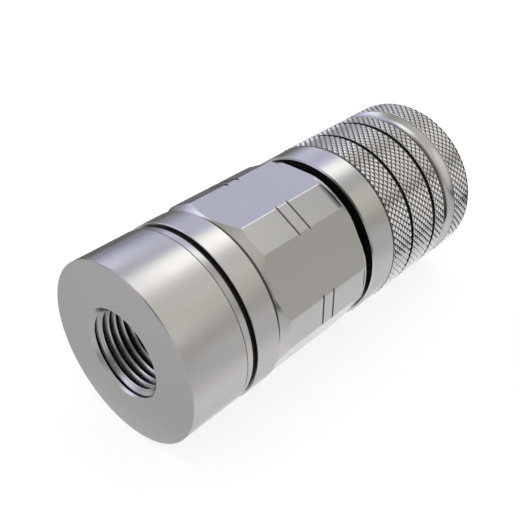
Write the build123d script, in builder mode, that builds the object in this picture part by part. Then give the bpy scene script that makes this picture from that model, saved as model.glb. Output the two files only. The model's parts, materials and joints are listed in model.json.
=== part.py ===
"""Hydraulic quick coupler, the socket half, with a pull-back locking sleeve.

X runs along the axis from the port face (X = 0) to the mouth, and Z is up, with a
wide wrench flat on top. Every turned piece is a half profile of (x, radius) points,
drawn on Plane.XY and revolved about the X axis. All sizes are in millimetres.
"""

import os
from math import cos, hypot, radians, sin, tan

from build123d import *

os.makedirs("parts", exist_ok=True)

# Clearances: pieces that seat together, pieces that slide, and pieces inside the sleeve
SEAT_CLEARANCE = 0.05
SLIDE_CLEARANCE = 0.10
GUIDE_CLEARANCE = 0.15
BALL_CLEARANCE = 0.07
SEAL_CLEARANCE = 0.04
SEAL_PLAY = 0.2

# Outside radii: the collar leads, and the other turned pieces stand a step from it
COLLAR_RADIUS = 21.4
PORT_STEP = 0.15
SLEEVE_STEP = 0.2
KNURL_RISE = 0.25
JOINT_RING_STEP = 0.9
PORT_RADIUS = COLLAR_RADIUS - PORT_STEP
SLEEVE_RADIUS = COLLAR_RADIUS - SLEEVE_STEP
KNURL_RADIUS = SLEEVE_RADIUS + KNURL_RISE
JOINT_RING_RADIUS = COLLAR_RADIUS - JOINT_RING_STEP

# Walls and spaces between the outside and the mouth bore
SOCKET_WALL = 4.35
SPIGOT_WALL = 4.0
SLEEVE_WALL = 2.5
GUIDE_THICKNESS = 1.15
SPRING_SPACE = 2.7
NOSE_WALL = 3.7
VALVE_SHOULDER = 1.4
VALVE_WALL = 2.6
VALVE_LIP_WALL = 3.6
SPIGOT_RADIUS = COLLAR_RADIUS - SOCKET_WALL - SEAT_CLEARANCE
CHAMBER_RADIUS = SPIGOT_RADIUS - SPIGOT_WALL
SLEEVE_BORE_RADIUS = SLEEVE_RADIUS - SLEEVE_WALL
NECK_RADIUS = SLEEVE_BORE_RADIUS - GUIDE_CLEARANCE - GUIDE_THICKNESS
NOSE_RADIUS = SLEEVE_BORE_RADIUS - SPRING_SPACE
MOUTH_RADIUS = NOSE_RADIUS - NOSE_WALL
CAVITY_RADIUS = MOUTH_RADIUS + VALVE_SHOULDER

# Port adapter, outside
PORT_LENGTH = 17.3
PORT_EDGE = 0.25
PORT_TAPER_LENGTH = 2.35
PORT_TAPER_DROP = 0.40
PORT_BACK_ROUND = 0.45

# Port adapter, inside: a G 1/2 thread at its major radius, then the flow bore
THREAD_RADIUS = 10.478
THREAD_DEPTH = 15.5
THREAD_LEAD = 0.17
THREAD_SHOULDER = 1.978
FLOW_RADIUS = THREAD_RADIUS - THREAD_SHOULDER
FLARE_START = 22.0
FLARE_LENGTH = 4.5

# Spigot that screws into the body, with its seal groove
SPIGOT_LENGTH = 16.7
SPIGOT_CHAMFER = 0.6
SPIGOT_GROOVE_OFFSET = 3.1
SPIGOT_GROOVE_DEPTH = 2.0
BACKUP_WIDTH = 1.3

# Dark ring in the joint between adapter and body
JOINT_RING_WIDTH = 0.6

# Body, outside: six wide flats below the collar and six narrow ones at their corners
COLLAR_LENGTH = 6.5
COLLAR_CHAMFER = 0.3
COLLAR_STEP = 2.45
NEAR_CONE_LENGTH = 3.45
WIDE_FLAT_DROP = 0.96
NARROW_FLAT_RISE = 0.09
HEX_LENGTH = 25.15
FAR_CONE_LENGTH = 2.1
FAR_CONE_DROP = 1.3
TURNING_ALLOWANCE = 0.2
NOTCH_WIDTH = 0.7
NOTCH_DEPTH = 0.21
NOTCH_SPACING = 3.44
NECK_LENGTH = 6.9
NOSE_CHAMFER = 0.5

# Body, inside
SOCKET_CHAMFER = 0.4
MOUTH_LEAD_LENGTH = 1.2
MOUTH_LEAD = 0.7

# Stem carrier, stem, nut and washer
CARRIER_THICKNESS = 4.0
CARRIER_HOLES = 6
CARRIER_HOLE_RADIUS = 2.5
CARRIER_HOLE_CIRCLE = 8.2
STEM_THREAD_RADIUS = 3.0
STEM_THREAD_LENGTH = 10.5
STEM_ROD_RADIUS = 3.6
STEM_FLANGE_RADIUS = 5.4
STEM_FLANGE_WIDTH = 2.5
STEM_HEAD_LENGTH = 7.0
STEM_HEAD_CONE = 6.0
STEM_EDGE = 0.3
STEM_GROOVE_OFFSET = 2.0
STEM_GROOVE_DEPTH = 1.7
NUT_FLATS = 9.5
NUT_HEIGHT = 4.0
NUT_CHAMFER = 0.4
WASHER_THICKNESS = 0.8
WASHER_RADIUS = 5.0
WASHER_SPLIT = 0.7

# Valve sleeve and spring
VALVE_SPRING_LENGTH = 20.0
VALVE_SPRING_WIRE = 2.0
VALVE_SPRING_TURNS = 4.5
VALVE_FLANGE_WIDTH = 3.0
VALVE_LIP_LENGTH = 6.2
VALVE_LIP_CONE = 1.5
VALVE_EDGE = 0.25

# Main seal in the mouth bore
SEAL_GROOVE_OFFSET = 3.6
SEAL_GROOVE_DEPTH = 1.9

# Locking balls
BALL_COUNT = 8
BALL_RADIUS = 2.38
BALL_REACH = 1.0
BALL_FROM_MOUTH = 9.0
BALL_FACE_OFFSET = 4.0
BALL_SEAT_ANGLE = 20.0
BALL_FIRST_ANGLE = 22.5

# Locking sleeve, outside, from its back edge to the mouth
SLEEVE_GAP = 2.7
SLEEVE_BACK_ROUND = 0.6
SLEEVE_BAND_LENGTH = 7.8
SCRIBE_WIDTH = 0.25
SCRIBE_DEPTH = 0.3
KNURL_1_LENGTH = 7.2
KNURL_2_LENGTH = 8.5
KNURL_3_LENGTH = 3.9
KNURL_4_LENGTH = 6.6
STRIP_LENGTH = 0.65
GROOVE_WIDTH = 0.5
GROOVE_DEPTH = 1.45
FINGER_LENGTH = 5.45
FINGER_DEPTH = 1.1
SLEEVE_FRONT_CHAMFER = 0.35

# Locking sleeve, inside
SLEEVE_TRAVEL = 2.6
SLEEVE_BORE_CHAMFER = 0.4
LAND_BACK_OFFSET = 7.0
LAND_FRONT_OFFSET = 0.6
STOP_FROM_MOUTH = 3.5

# Thrust washer, sleeve spring and stop ring
THRUST_WIDTH = 1.2
SLEEVE_SPRING_WIRE = 1.5
SLEEVE_SPRING_TURNS = 6.5
STOP_RING_WIDTH = 1.2
STOP_RING_DEPTH = 0.8
STOP_RING_RISE = 1.7
STOP_RING_OPENING = 5.0
STOP_BORE_CLEARANCE = 0.2
NOSE_END_GAP = 1.0

# Places along the axis: adapter and body
spigot_end = PORT_LENGTH + SPIGOT_LENGTH
body_start = PORT_LENGTH + JOINT_RING_WIDTH
collar_end = body_start + COLLAR_LENGTH
hex_start = collar_end + NEAR_CONE_LENGTH
hex_end = hex_start + HEX_LENGTH
neck_start = hex_end + FAR_CONE_LENGTH
nose_start = neck_start + NECK_LENGTH

# Places along the axis: outside of the sleeve
sleeve_start = neck_start + SLEEVE_GAP
band_end = sleeve_start + SLEEVE_BAND_LENGTH
knurl_1_start = band_end + SCRIBE_WIDTH
knurl_1_end = knurl_1_start + KNURL_1_LENGTH
knurl_2_start = knurl_1_end + STRIP_LENGTH + GROOVE_WIDTH
knurl_2_end = knurl_2_start + KNURL_2_LENGTH
knurl_3_start = knurl_2_end + STRIP_LENGTH + GROOVE_WIDTH
finger_start = knurl_3_start + KNURL_3_LENGTH
finger_end = finger_start + FINGER_LENGTH
sleeve_end = finger_end + KNURL_4_LENGTH

# Places along the axis: the mechanism inside
cavity_start = spigot_end + CARRIER_THICKNESS
valve_start = cavity_start + VALVE_SPRING_LENGTH
valve_flange_end = valve_start + VALVE_FLANGE_WIDTH
cavity_end = valve_flange_end + SEAT_CLEARANCE
nose_end = sleeve_end - NOSE_END_GAP
ball_x = sleeve_end - BALL_FROM_MOUTH
face_x = ball_x - BALL_FACE_OFFSET
head_start = face_x - STEM_HEAD_LENGTH
land_start = ball_x - LAND_BACK_OFFSET
land_end = ball_x - LAND_FRONT_OFFSET
stop_x = sleeve_end - STOP_FROM_MOUTH

# Radii that follow from the fits
socket_radius = SPIGOT_RADIUS + SEAT_CLEARANCE
spigot_groove_radius = SPIGOT_RADIUS - SPIGOT_GROOVE_DEPTH
cone_start_radius = COLLAR_RADIUS - COLLAR_STEP
wide_apothem = COLLAR_RADIUS - WIDE_FLAT_DROP
narrow_apothem = COLLAR_RADIUS + NARROW_FLAT_RISE
notch_radius = narrow_apothem - NOTCH_DEPTH
valve_radius = MOUTH_RADIUS - SLIDE_CLEARANCE
valve_bore_radius = valve_radius - VALVE_WALL
lip_radius = valve_radius - VALVE_LIP_WALL
head_radius = lip_radius - SLIDE_CLEARANCE
stem_groove_radius = head_radius - STEM_GROOVE_DEPTH
seal_groove_radius = MOUTH_RADIUS + SEAL_GROOVE_DEPTH
guide_radius = SLEEVE_BORE_RADIUS - GUIDE_CLEARANCE
land_radius = NOSE_RADIUS + SLIDE_CLEARANCE
ball_circle = MOUTH_RADIUS - BALL_REACH + BALL_RADIUS
relief_radius = ball_circle + BALL_REACH + BALL_RADIUS + SLIDE_CLEARANCE
stop_ring_inner = NOSE_RADIUS - STOP_RING_DEPTH
stop_ring_outer = NOSE_RADIUS + STOP_RING_RISE
stop_bore_radius = stop_ring_outer + STOP_BORE_CLEARANCE


def turned(*points):
    """Closed half profile through (x, radius) points, ready to revolve about X."""
    with BuildSketch(Plane.XY) as profile:
        with BuildLine():
            Polyline(*points, close=True)
        make_face()
    return profile.sketch


def band(start, end, inner, outer):
    """Half profile of a plain ring or groove."""
    return turned((start, inner), (end, inner), (end, outer), (start, outer))


def seal_size(inner, outer):
    """Section radius and centre radius of an O-ring between two round walls."""
    return (outer - inner) / 2 - SEAL_CLEARANCE, (outer + inner) / 2


def o_ring(x, section_radius, centre_radius):
    """O-ring about the X axis, with its section centred at x."""
    with BuildPart() as ring:
        with BuildSketch(Plane.XY):
            with Locations((x, centre_radius)):
                Circle(section_radius)
        revolve(axis=Axis.X)
    return ring


def plain_ring(start, end, inner, outer):
    """Ring of rectangular section about the X axis."""
    with BuildPart() as ring:
        revolve(band(start, end, inner, outer), axis=Axis.X)
    return ring


def coil_spring(start, end, centre_radius, wire, turns):
    """Round-wire compression spring along X, with both ends ground flat."""
    length = end - start
    with BuildPart() as spring:
        with BuildLine():
            coil = Helix(
                pitch=length / turns,
                height=length,
                radius=centre_radius,
                center=(start, 0, 0),
                direction=(1, 0, 0),
            )
        with BuildSketch(Plane(origin=coil @ 0, z_dir=coil % 0)):
            Circle(wire / 2)
        sweep(path=coil, is_frenet=True)
        with BuildSketch(Plane.YZ.offset(start)):
            Circle(centre_radius + wire)
        extrude(amount=length, mode=Mode.INTERSECT)
    return spring


def keep(piece, name):
    """Label one finished piece and write it as its own STEP file."""
    piece.part.label = name
    export_step(piece.part, f"parts/{name}.step")


# Port adapter: one turned piece from the port face to the end of the spigot
spigot_ring_section, spigot_ring_radius = seal_size(spigot_groove_radius, socket_radius)
spigot_groove_start = PORT_LENGTH + SPIGOT_GROOVE_OFFSET
spigot_ring_x = spigot_groove_start + SEAL_PLAY + spigot_ring_section
spigot_backup_start = spigot_ring_x + spigot_ring_section + SEAL_PLAY
spigot_groove_end = spigot_backup_start + BACKUP_WIDTH + SEAL_PLAY

with BuildPart() as port_adapter:
    with BuildSketch(Plane.XY) as adapter_profile:
        with BuildLine():
            Polyline(
                (0, THREAD_RADIUS + THREAD_LEAD),
                (0, PORT_RADIUS - PORT_EDGE),
                (PORT_EDGE, PORT_RADIUS),
                (PORT_LENGTH - PORT_TAPER_LENGTH, PORT_RADIUS),
                (PORT_LENGTH, PORT_RADIUS - PORT_TAPER_DROP),
                (PORT_LENGTH, SPIGOT_RADIUS),
                (spigot_end - SPIGOT_CHAMFER, SPIGOT_RADIUS),
                (spigot_end, SPIGOT_RADIUS - SPIGOT_CHAMFER),
                (spigot_end, CHAMBER_RADIUS),
                (FLARE_START + FLARE_LENGTH, CHAMBER_RADIUS),
                (FLARE_START, FLOW_RADIUS),
                (THREAD_DEPTH + (THREAD_RADIUS - FLOW_RADIUS) / 2, FLOW_RADIUS),
                (THREAD_DEPTH, THREAD_RADIUS),
                (THREAD_LEAD, THREAD_RADIUS),
                close=True,
            )
        make_face()
        back_corner = adapter_profile.vertices().sort_by_distance((PORT_LENGTH, PORT_RADIUS))[0]
        fillet(back_corner, PORT_BACK_ROUND)
    revolve(axis=Axis.X)
    revolve(
        band(spigot_groove_start, spigot_groove_end, spigot_groove_radius, socket_radius),
        axis=Axis.X,
        mode=Mode.SUBTRACT,
    )
keep(port_adapter, "port_adapter")

adapter_o_ring = o_ring(spigot_ring_x, spigot_ring_section, spigot_ring_radius)
keep(adapter_o_ring, "adapter_o_ring")

adapter_backup_ring = plain_ring(
    spigot_backup_start,
    spigot_backup_start + BACKUP_WIDTH,
    spigot_groove_radius + SEAL_CLEARANCE,
    socket_radius - SEAL_CLEARANCE,
)
keep(adapter_backup_ring, "adapter_backup_ring")

joint_ring = plain_ring(
    PORT_LENGTH, body_start, SPIGOT_RADIUS + SEAT_CLEARANCE, JOINT_RING_RADIUS
)
keep(joint_ring, "joint_ring")

# Body: turned blank, then the twelve flats, the notches, grooves and ball holes
main_seal_section, main_seal_radius = seal_size(valve_radius, seal_groove_radius)
seal_groove_end = face_x - SEAL_GROOVE_OFFSET
main_backup_end = seal_groove_end - SEAL_PLAY
main_backup_start = main_backup_end - BACKUP_WIDTH
main_seal_x = main_backup_start - SEAL_PLAY - main_seal_section
seal_groove_start = main_seal_x - main_seal_section - SEAL_PLAY

corner_offset = (narrow_apothem - wide_apothem * cos(radians(30))) / sin(radians(30))
corner_radius = hypot(wide_apothem, corner_offset)
blank_radius = corner_radius + TURNING_ALLOWANCE
near_slope = (corner_radius - cone_start_radius) / NEAR_CONE_LENGTH
far_slope = FAR_CONE_DROP / FAR_CONE_LENGTH
notch_middle = (hex_start + hex_end) / 2

ball_angles = [BALL_FIRST_ANGLE + i * 360 / BALL_COUNT for i in range(BALL_COUNT)]
hole_radius = BALL_RADIUS + BALL_CLEARANCE
seat_slope = tan(radians(BALL_SEAT_ANGLE))
seat_base = MOUTH_RADIUS - BALL_REACH / 2
seat_at_centre = hole_radius / cos(radians(BALL_SEAT_ANGLE))
seat_top = ball_circle - (seat_at_centre - hole_radius) / seat_slope
seat_base_radius = hole_radius - (seat_top - seat_base) * seat_slope

with BuildPart() as body:
    with BuildSketch(Plane.XY):
        with BuildLine():
            Polyline(
                (body_start, COLLAR_RADIUS - COLLAR_CHAMFER),
                (body_start + COLLAR_CHAMFER, COLLAR_RADIUS),
                (collar_end, COLLAR_RADIUS),
                (collar_end, cone_start_radius),
                (hex_start + TURNING_ALLOWANCE / near_slope, blank_radius),
                (hex_end - TURNING_ALLOWANCE / far_slope, blank_radius),
                (neck_start, corner_radius - FAR_CONE_DROP),
                (neck_start, NECK_RADIUS),
                (nose_start, NECK_RADIUS),
                (nose_start, NOSE_RADIUS),
                (nose_end - NOSE_CHAMFER, NOSE_RADIUS),
                (nose_end, NOSE_RADIUS - NOSE_CHAMFER),
                (nose_end, MOUTH_RADIUS + MOUTH_LEAD),
                (nose_end - MOUTH_LEAD_LENGTH, MOUTH_RADIUS),
                (cavity_end, MOUTH_RADIUS),
                (cavity_end, CAVITY_RADIUS),
                (cavity_start, CAVITY_RADIUS),
                (cavity_start, socket_radius),
                (body_start + SOCKET_CHAMFER, socket_radius),
                (body_start, socket_radius + SOCKET_CHAMFER),
                close=True,
            )
        make_face()
    revolve(axis=Axis.X)
    with BuildSketch(Plane.YZ.offset(collar_end)):
        Circle(blank_radius + TURNING_ALLOWANCE)
        with BuildSketch(Plane.XY, mode=Mode.PRIVATE) as flats:
            RegularPolygon(wide_apothem, 6, major_radius=False, rotation=0)
            RegularPolygon(
                narrow_apothem, 6, major_radius=False, rotation=90, mode=Mode.INTERSECT
            )
        add(flats.sketch, mode=Mode.SUBTRACT)
    extrude(amount=neck_start - collar_end, mode=Mode.SUBTRACT)
    for notch_x in (notch_middle - NOTCH_SPACING / 2, notch_middle + NOTCH_SPACING / 2):
        notch_edges = (notch_x - NOTCH_WIDTH / 2, notch_x + NOTCH_WIDTH / 2)
        revolve(
            band(*notch_edges, notch_radius, blank_radius),
            axis=Axis.X,
            mode=Mode.SUBTRACT,
        )
    revolve(
        band(seal_groove_start, seal_groove_end, MOUTH_RADIUS - SEAT_CLEARANCE, seal_groove_radius),
        axis=Axis.X,
        mode=Mode.SUBTRACT,
    )
    revolve(
        band(
            stop_x - SEAT_CLEARANCE,
            stop_x + STOP_RING_WIDTH + SEAT_CLEARANCE,
            stop_ring_inner - SEAT_CLEARANCE,
            NOSE_RADIUS + SEAT_CLEARANCE,
        ),
        axis=Axis.X,
        mode=Mode.SUBTRACT,
    )
    for angle in ball_angles:
        with Locations(Location((ball_x, 0, 0), (angle, 0, 0)) * Location((0, 0, seat_base))):
            Cone(
                seat_base_radius,
                hole_radius,
                seat_top - seat_base,
                align=(Align.CENTER, Align.CENTER, Align.MIN),
                mode=Mode.SUBTRACT,
            )
        with Locations(Location((ball_x, 0, 0), (angle, 0, 0)) * Location((0, 0, seat_top))):
            Cylinder(
                hole_radius,
                NOSE_RADIUS - seat_top + BALL_REACH,
                align=(Align.CENTER, Align.CENTER, Align.MIN),
                mode=Mode.SUBTRACT,
            )
keep(body, "body")

main_seal = o_ring(main_seal_x, main_seal_section, main_seal_radius)
keep(main_seal, "main_seal")

main_seal_backup = plain_ring(
    main_backup_start,
    main_backup_end,
    valve_radius + SEAL_CLEARANCE,
    seal_groove_radius - SEAL_CLEARANCE,
)
keep(main_seal_backup, "main_seal_backup")

guide_ring = plain_ring(neck_start, nose_start, NECK_RADIUS + SEAL_CLEARANCE, guide_radius)
keep(guide_ring, "guide_ring")

# Stem carrier: a disc with flow holes, clamped between the spigot and the body
with BuildPart() as stem_carrier:
    revolve(
        band(spigot_end, cavity_start, STEM_THREAD_RADIUS + SEAT_CLEARANCE, SPIGOT_RADIUS),
        axis=Axis.X,
    )
    with BuildSketch(Plane.YZ.offset(spigot_end)):
        with PolarLocations(CARRIER_HOLE_CIRCLE, CARRIER_HOLES):
            Circle(CARRIER_HOLE_RADIUS)
    extrude(amount=CARRIER_THICKNESS, mode=Mode.SUBTRACT)
keep(stem_carrier, "stem_carrier")

# Valve stem with its flat head
stem_seal_section, stem_seal_radius = seal_size(stem_groove_radius, lip_radius)
stem_groove_end = face_x - STEM_GROOVE_OFFSET
stem_seal_x = stem_groove_end - SEAL_PLAY - stem_seal_section
stem_groove_start = stem_seal_x - stem_seal_section - SEAL_PLAY

with BuildPart() as valve_stem:
    revolve(
        turned(
            (cavity_start - STEM_THREAD_LENGTH, 0),
            (cavity_start - STEM_THREAD_LENGTH, STEM_THREAD_RADIUS - STEM_EDGE),
            (cavity_start - STEM_THREAD_LENGTH + STEM_EDGE, STEM_THREAD_RADIUS),
            (cavity_start, STEM_THREAD_RADIUS),
            (cavity_start, STEM_FLANGE_RADIUS),
            (cavity_start + STEM_FLANGE_WIDTH, STEM_FLANGE_RADIUS),
            (cavity_start + STEM_FLANGE_WIDTH, STEM_ROD_RADIUS),
            (head_start - STEM_HEAD_CONE, STEM_ROD_RADIUS),
            (head_start, head_radius),
            (stem_groove_start, head_radius),
            (stem_groove_start, stem_groove_radius),
            (stem_groove_end, stem_groove_radius),
            (stem_groove_end, head_radius),
            (face_x - STEM_EDGE, head_radius),
            (face_x, head_radius - STEM_EDGE),
            (face_x, 0),
        ),
        axis=Axis.X,
    )
keep(valve_stem, "valve_stem")

stem_seal = o_ring(stem_seal_x, stem_seal_section, stem_seal_radius)
keep(stem_seal, "stem_seal")

washer_start = spigot_end - WASHER_THICKNESS
with BuildPart() as stem_washer:
    revolve(
        band(washer_start, spigot_end, STEM_THREAD_RADIUS + SEAT_CLEARANCE, WASHER_RADIUS),
        axis=Axis.X,
    )
    with Locations((washer_start, 0, WASHER_RADIUS / 2)):
        Box(
            WASHER_THICKNESS,
            WASHER_SPLIT,
            WASHER_RADIUS,
            align=(Align.MIN, Align.CENTER, Align.CENTER),
            mode=Mode.SUBTRACT,
        )
keep(stem_washer, "stem_washer")

nut_start = washer_start - NUT_HEIGHT
nut_corner = NUT_FLATS / 2 / cos(radians(30))
with BuildPart() as stem_nut:
    with BuildSketch(Plane.YZ.offset(nut_start)):
        RegularPolygon(NUT_FLATS / 2, 6, major_radius=False)
        Circle(STEM_THREAD_RADIUS + SEAT_CLEARANCE, mode=Mode.SUBTRACT)
    extrude(amount=NUT_HEIGHT)
    revolve(
        turned(
            (nut_start, 0),
            (nut_start, nut_corner - NUT_CHAMFER),
            (nut_start + NUT_CHAMFER, nut_corner + SEAT_CLEARANCE),
            (washer_start, nut_corner + SEAT_CLEARANCE),
            (washer_start, 0),
        ),
        axis=Axis.X,
        mode=Mode.INTERSECT,
    )
keep(stem_nut, "stem_nut")

# Valve sleeve: slides over the stem head and seals the annular flow path
lip_start = face_x - VALVE_LIP_LENGTH
with BuildPart() as valve_sleeve:
    revolve(
        turned(
            (valve_start, valve_bore_radius),
            (valve_start, CAVITY_RADIUS - SLIDE_CLEARANCE - VALVE_EDGE),
            (valve_start + VALVE_EDGE, CAVITY_RADIUS - SLIDE_CLEARANCE),
            (valve_flange_end, CAVITY_RADIUS - SLIDE_CLEARANCE),
            (valve_flange_end, valve_radius),
            (face_x - VALVE_EDGE, valve_radius),
            (face_x, valve_radius - VALVE_EDGE),
            (face_x, lip_radius),
            (lip_start, lip_radius),
            (lip_start - VALVE_LIP_CONE, valve_bore_radius),
        ),
        axis=Axis.X,
    )
keep(valve_sleeve, "valve_sleeve")

valve_spring = coil_spring(
    cavity_start,
    valve_start,
    (valve_bore_radius + CAVITY_RADIUS) / 2,
    VALVE_SPRING_WIRE,
    VALVE_SPRING_TURNS,
)
keep(valve_spring, "valve_spring")

# Locking balls, one in each tapered hole of the nose
for number, angle in enumerate(ball_angles, start=1):
    with BuildPart() as lock_ball:
        with Locations(Location((ball_x, 0, 0), (angle, 0, 0)) * Location((0, 0, ball_circle))):
            Sphere(BALL_RADIUS)
    keep(lock_ball, f"lock_ball_{number}")

# Locking sleeve: the ramp pushes the balls in over the same travel as it slides
ramp_slope = BALL_REACH / SLEEVE_TRAVEL
ramp_end = land_end + (relief_radius - land_radius) / ramp_slope
finger_middle = (finger_start + finger_end) / 2

with BuildPart() as lock_sleeve:
    with BuildSketch(Plane.XY) as sleeve_profile:
        with BuildLine():
            Polyline(
                (finger_end, KNURL_RADIUS),
                (sleeve_end - SLEEVE_FRONT_CHAMFER, KNURL_RADIUS),
                (sleeve_end, KNURL_RADIUS - SLEEVE_FRONT_CHAMFER),
                (sleeve_end, stop_bore_radius + SLEEVE_FRONT_CHAMFER),
                (sleeve_end - SLEEVE_FRONT_CHAMFER, stop_bore_radius),
                (stop_x - SLIDE_CLEARANCE, stop_bore_radius),
                (stop_x - SLIDE_CLEARANCE, relief_radius),
                (ramp_end, relief_radius),
                (land_end, land_radius),
                (land_start, land_radius),
                (land_start, SLEEVE_BORE_RADIUS),
                (sleeve_start + SLEEVE_BORE_CHAMFER, SLEEVE_BORE_RADIUS),
                (sleeve_start, SLEEVE_BORE_RADIUS + SLEEVE_BORE_CHAMFER),
                (sleeve_start, SLEEVE_RADIUS),
                (band_end, SLEEVE_RADIUS),
                (band_end, SLEEVE_RADIUS - SCRIBE_DEPTH),
                (knurl_1_start, SLEEVE_RADIUS - SCRIBE_DEPTH),
                (knurl_1_start, KNURL_RADIUS),
                (knurl_1_end, KNURL_RADIUS),
                (knurl_1_end, SLEEVE_RADIUS),
                (knurl_2_start - GROOVE_WIDTH, SLEEVE_RADIUS),
                (knurl_2_start - GROOVE_WIDTH, SLEEVE_RADIUS - GROOVE_DEPTH),
                (knurl_2_start, SLEEVE_RADIUS - GROOVE_DEPTH),
                (knurl_2_start, KNURL_RADIUS),
                (knurl_2_end, KNURL_RADIUS),
                (knurl_2_end, SLEEVE_RADIUS),
                (knurl_3_start - GROOVE_WIDTH, SLEEVE_RADIUS),
                (knurl_3_start - GROOVE_WIDTH, SLEEVE_RADIUS - GROOVE_DEPTH),
                (knurl_3_start, SLEEVE_RADIUS - GROOVE_DEPTH),
                (knurl_3_start, KNURL_RADIUS),
                (finger_start, KNURL_RADIUS),
            )
            ThreePointArc(
                (finger_start, KNURL_RADIUS),
                (finger_middle, KNURL_RADIUS - FINGER_DEPTH),
                (finger_end, KNURL_RADIUS),
            )
        make_face()
        back_corner = sleeve_profile.vertices().sort_by_distance((sleeve_start, SLEEVE_RADIUS))[0]
        fillet(back_corner, SLEEVE_BACK_ROUND)
    revolve(axis=Axis.X)
keep(lock_sleeve, "lock_sleeve")

thrust_end = land_start - SEAT_CLEARANCE
thrust_start = thrust_end - THRUST_WIDTH
thrust_washer = plain_ring(
    thrust_start, thrust_end, NOSE_RADIUS + GUIDE_CLEARANCE, guide_radius
)
keep(thrust_washer, "thrust_washer")

sleeve_spring = coil_spring(
    nose_start,
    thrust_start,
    (NOSE_RADIUS + SLEEVE_BORE_RADIUS) / 2,
    SLEEVE_SPRING_WIRE,
    SLEEVE_SPRING_TURNS,
)
keep(sleeve_spring, "sleeve_spring")

# Stop ring: an open spring ring in the nose groove that holds the sleeve on
with BuildPart() as stop_ring:
    revolve(
        band(stop_x, stop_x + STOP_RING_WIDTH, stop_ring_inner, stop_ring_outer),
        axis=Axis.X,
    )
    with Locations((stop_x, 0, -stop_ring_outer)):
        Box(
            STOP_RING_WIDTH,
            STOP_RING_OPENING,
            stop_ring_outer,
            align=(Align.MIN, Align.CENTER, Align.CENTER),
            mode=Mode.SUBTRACT,
        )
keep(stop_ring, "stop_ring")
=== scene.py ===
"""Looks of the hydraulic quick coupler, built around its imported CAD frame.

The coupler lies on its side on a pale studio floor, as it stands in the frame: X runs along
the axis from the port face to the mouth, and Z is up, with a wide wrench flat on top. Sizes
are in millimetres and become metres where a mesh is made. An angle about the axis is 0 at
the top and grows towards the side that the camera sees.
"""

import json
import logging
import math
from dataclasses import dataclass
from enum import Enum
from typing import Any

import bpy
from mathutils import Matrix, Vector

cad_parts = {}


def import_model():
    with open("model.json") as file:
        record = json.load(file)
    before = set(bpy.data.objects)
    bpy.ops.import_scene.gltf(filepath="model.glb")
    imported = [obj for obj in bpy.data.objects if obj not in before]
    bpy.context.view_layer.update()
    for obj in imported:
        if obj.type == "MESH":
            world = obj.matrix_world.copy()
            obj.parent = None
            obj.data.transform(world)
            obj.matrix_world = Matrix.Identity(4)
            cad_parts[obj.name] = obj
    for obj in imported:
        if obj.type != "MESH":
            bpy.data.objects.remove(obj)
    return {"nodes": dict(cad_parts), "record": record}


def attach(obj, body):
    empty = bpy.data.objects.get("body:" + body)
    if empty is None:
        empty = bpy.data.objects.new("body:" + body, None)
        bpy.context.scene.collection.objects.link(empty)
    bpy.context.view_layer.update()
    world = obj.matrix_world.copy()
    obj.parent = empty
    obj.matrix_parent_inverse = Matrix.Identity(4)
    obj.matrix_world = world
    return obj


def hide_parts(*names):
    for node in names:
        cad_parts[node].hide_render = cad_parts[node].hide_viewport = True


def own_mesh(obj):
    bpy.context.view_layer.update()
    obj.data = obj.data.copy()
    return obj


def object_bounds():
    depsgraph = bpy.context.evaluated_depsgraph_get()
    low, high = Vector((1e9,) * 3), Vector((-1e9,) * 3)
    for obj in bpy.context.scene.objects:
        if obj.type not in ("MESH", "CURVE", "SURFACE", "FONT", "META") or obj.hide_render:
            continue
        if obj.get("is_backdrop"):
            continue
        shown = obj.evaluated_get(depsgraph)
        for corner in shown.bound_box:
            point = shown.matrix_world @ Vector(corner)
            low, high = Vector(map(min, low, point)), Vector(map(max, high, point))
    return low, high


MM = 0.001
LOG = logging.getLogger("coupler")

# Steps round a full turn, points closer than this in mm are one, faces smaller are none
ROUND_COLUMNS = 240
SAME_PLACE = 1e-6
NO_AREA = 1e-7
# An edge round takes at most this share of the shorter side beside it
LONGEST_ROUND = 0.45
# Rounds wider than these, in mm, are drawn in four parts and in two
WIDE_ROUND, SMALL_ROUND = 0.1, 0.04
# The noise's values lie mostly between these
CLOUD_LOW, CLOUD_HIGH = 0.3, 0.7
SIXTH = math.radians(60)

Point = tuple[float, float, float]
# Place along the axis, radius, and the outward normal's two parts
Step = tuple[float, float, float, float]
# A point and its normal for each column round the axis
Row = list[tuple[Point, Point]]
Envelope = list[tuple[float, float]]
SkyLevels = list[tuple[float, float, str]]


class Body(Enum):
    """The frame's bodies that the pieces built here ride on."""

    COUPLER = "coupler"
    SLEEVE = "sleeve"


class Slot(Enum):
    """The record's material slots."""

    PLATED = "plated_steel"
    INNER = "inner_steel"
    BALL = "ball_steel"
    SPRING = "spring_steel"
    RUBBER = "seal_rubber"
    POLYMER = "ring_polymer"


def linear(hex_colour: str) -> tuple[float, float, float, float]:
    """Turn an sRGB hex colour into the linear colour that the shaders take.

    Args:
        hex_colour: Six hex digits after a hash sign.

    Returns:
        Linear red, green, blue and an alpha of 1.
    """
    channels = [int(hex_colour[i : i + 2], 16) / 255 for i in (1, 3, 5)]
    red, green, blue = (
        c / 12.92 if c <= 0.04045 else ((c + 0.055) / 1.055) ** 2.4 for c in channels
    )
    return red, green, blue, 1.0


def add_node(
    tree: bpy.types.NodeTree,
    kind: str,
    inputs: dict[Any, Any] | None = None,
    **settings: Any,
) -> bpy.types.Node:
    """Add one node with its settings and links.

    Args:
        tree: The node tree that gets the node.
        kind: Blender's name for the node type.
        inputs: Input name or number, with its value or the socket that it is linked to.
        **settings: The node's own properties.

    Returns:
        The new node.
    """
    node = tree.nodes.new(kind)
    for name, value in settings.items():
        setattr(node, name, value)
    for name, value in (inputs or {}).items():
        if isinstance(value, bpy.types.NodeSocket):
            tree.links.new(value, node.inputs[name])
        else:
            node.inputs[name].default_value = value
    return node


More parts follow.
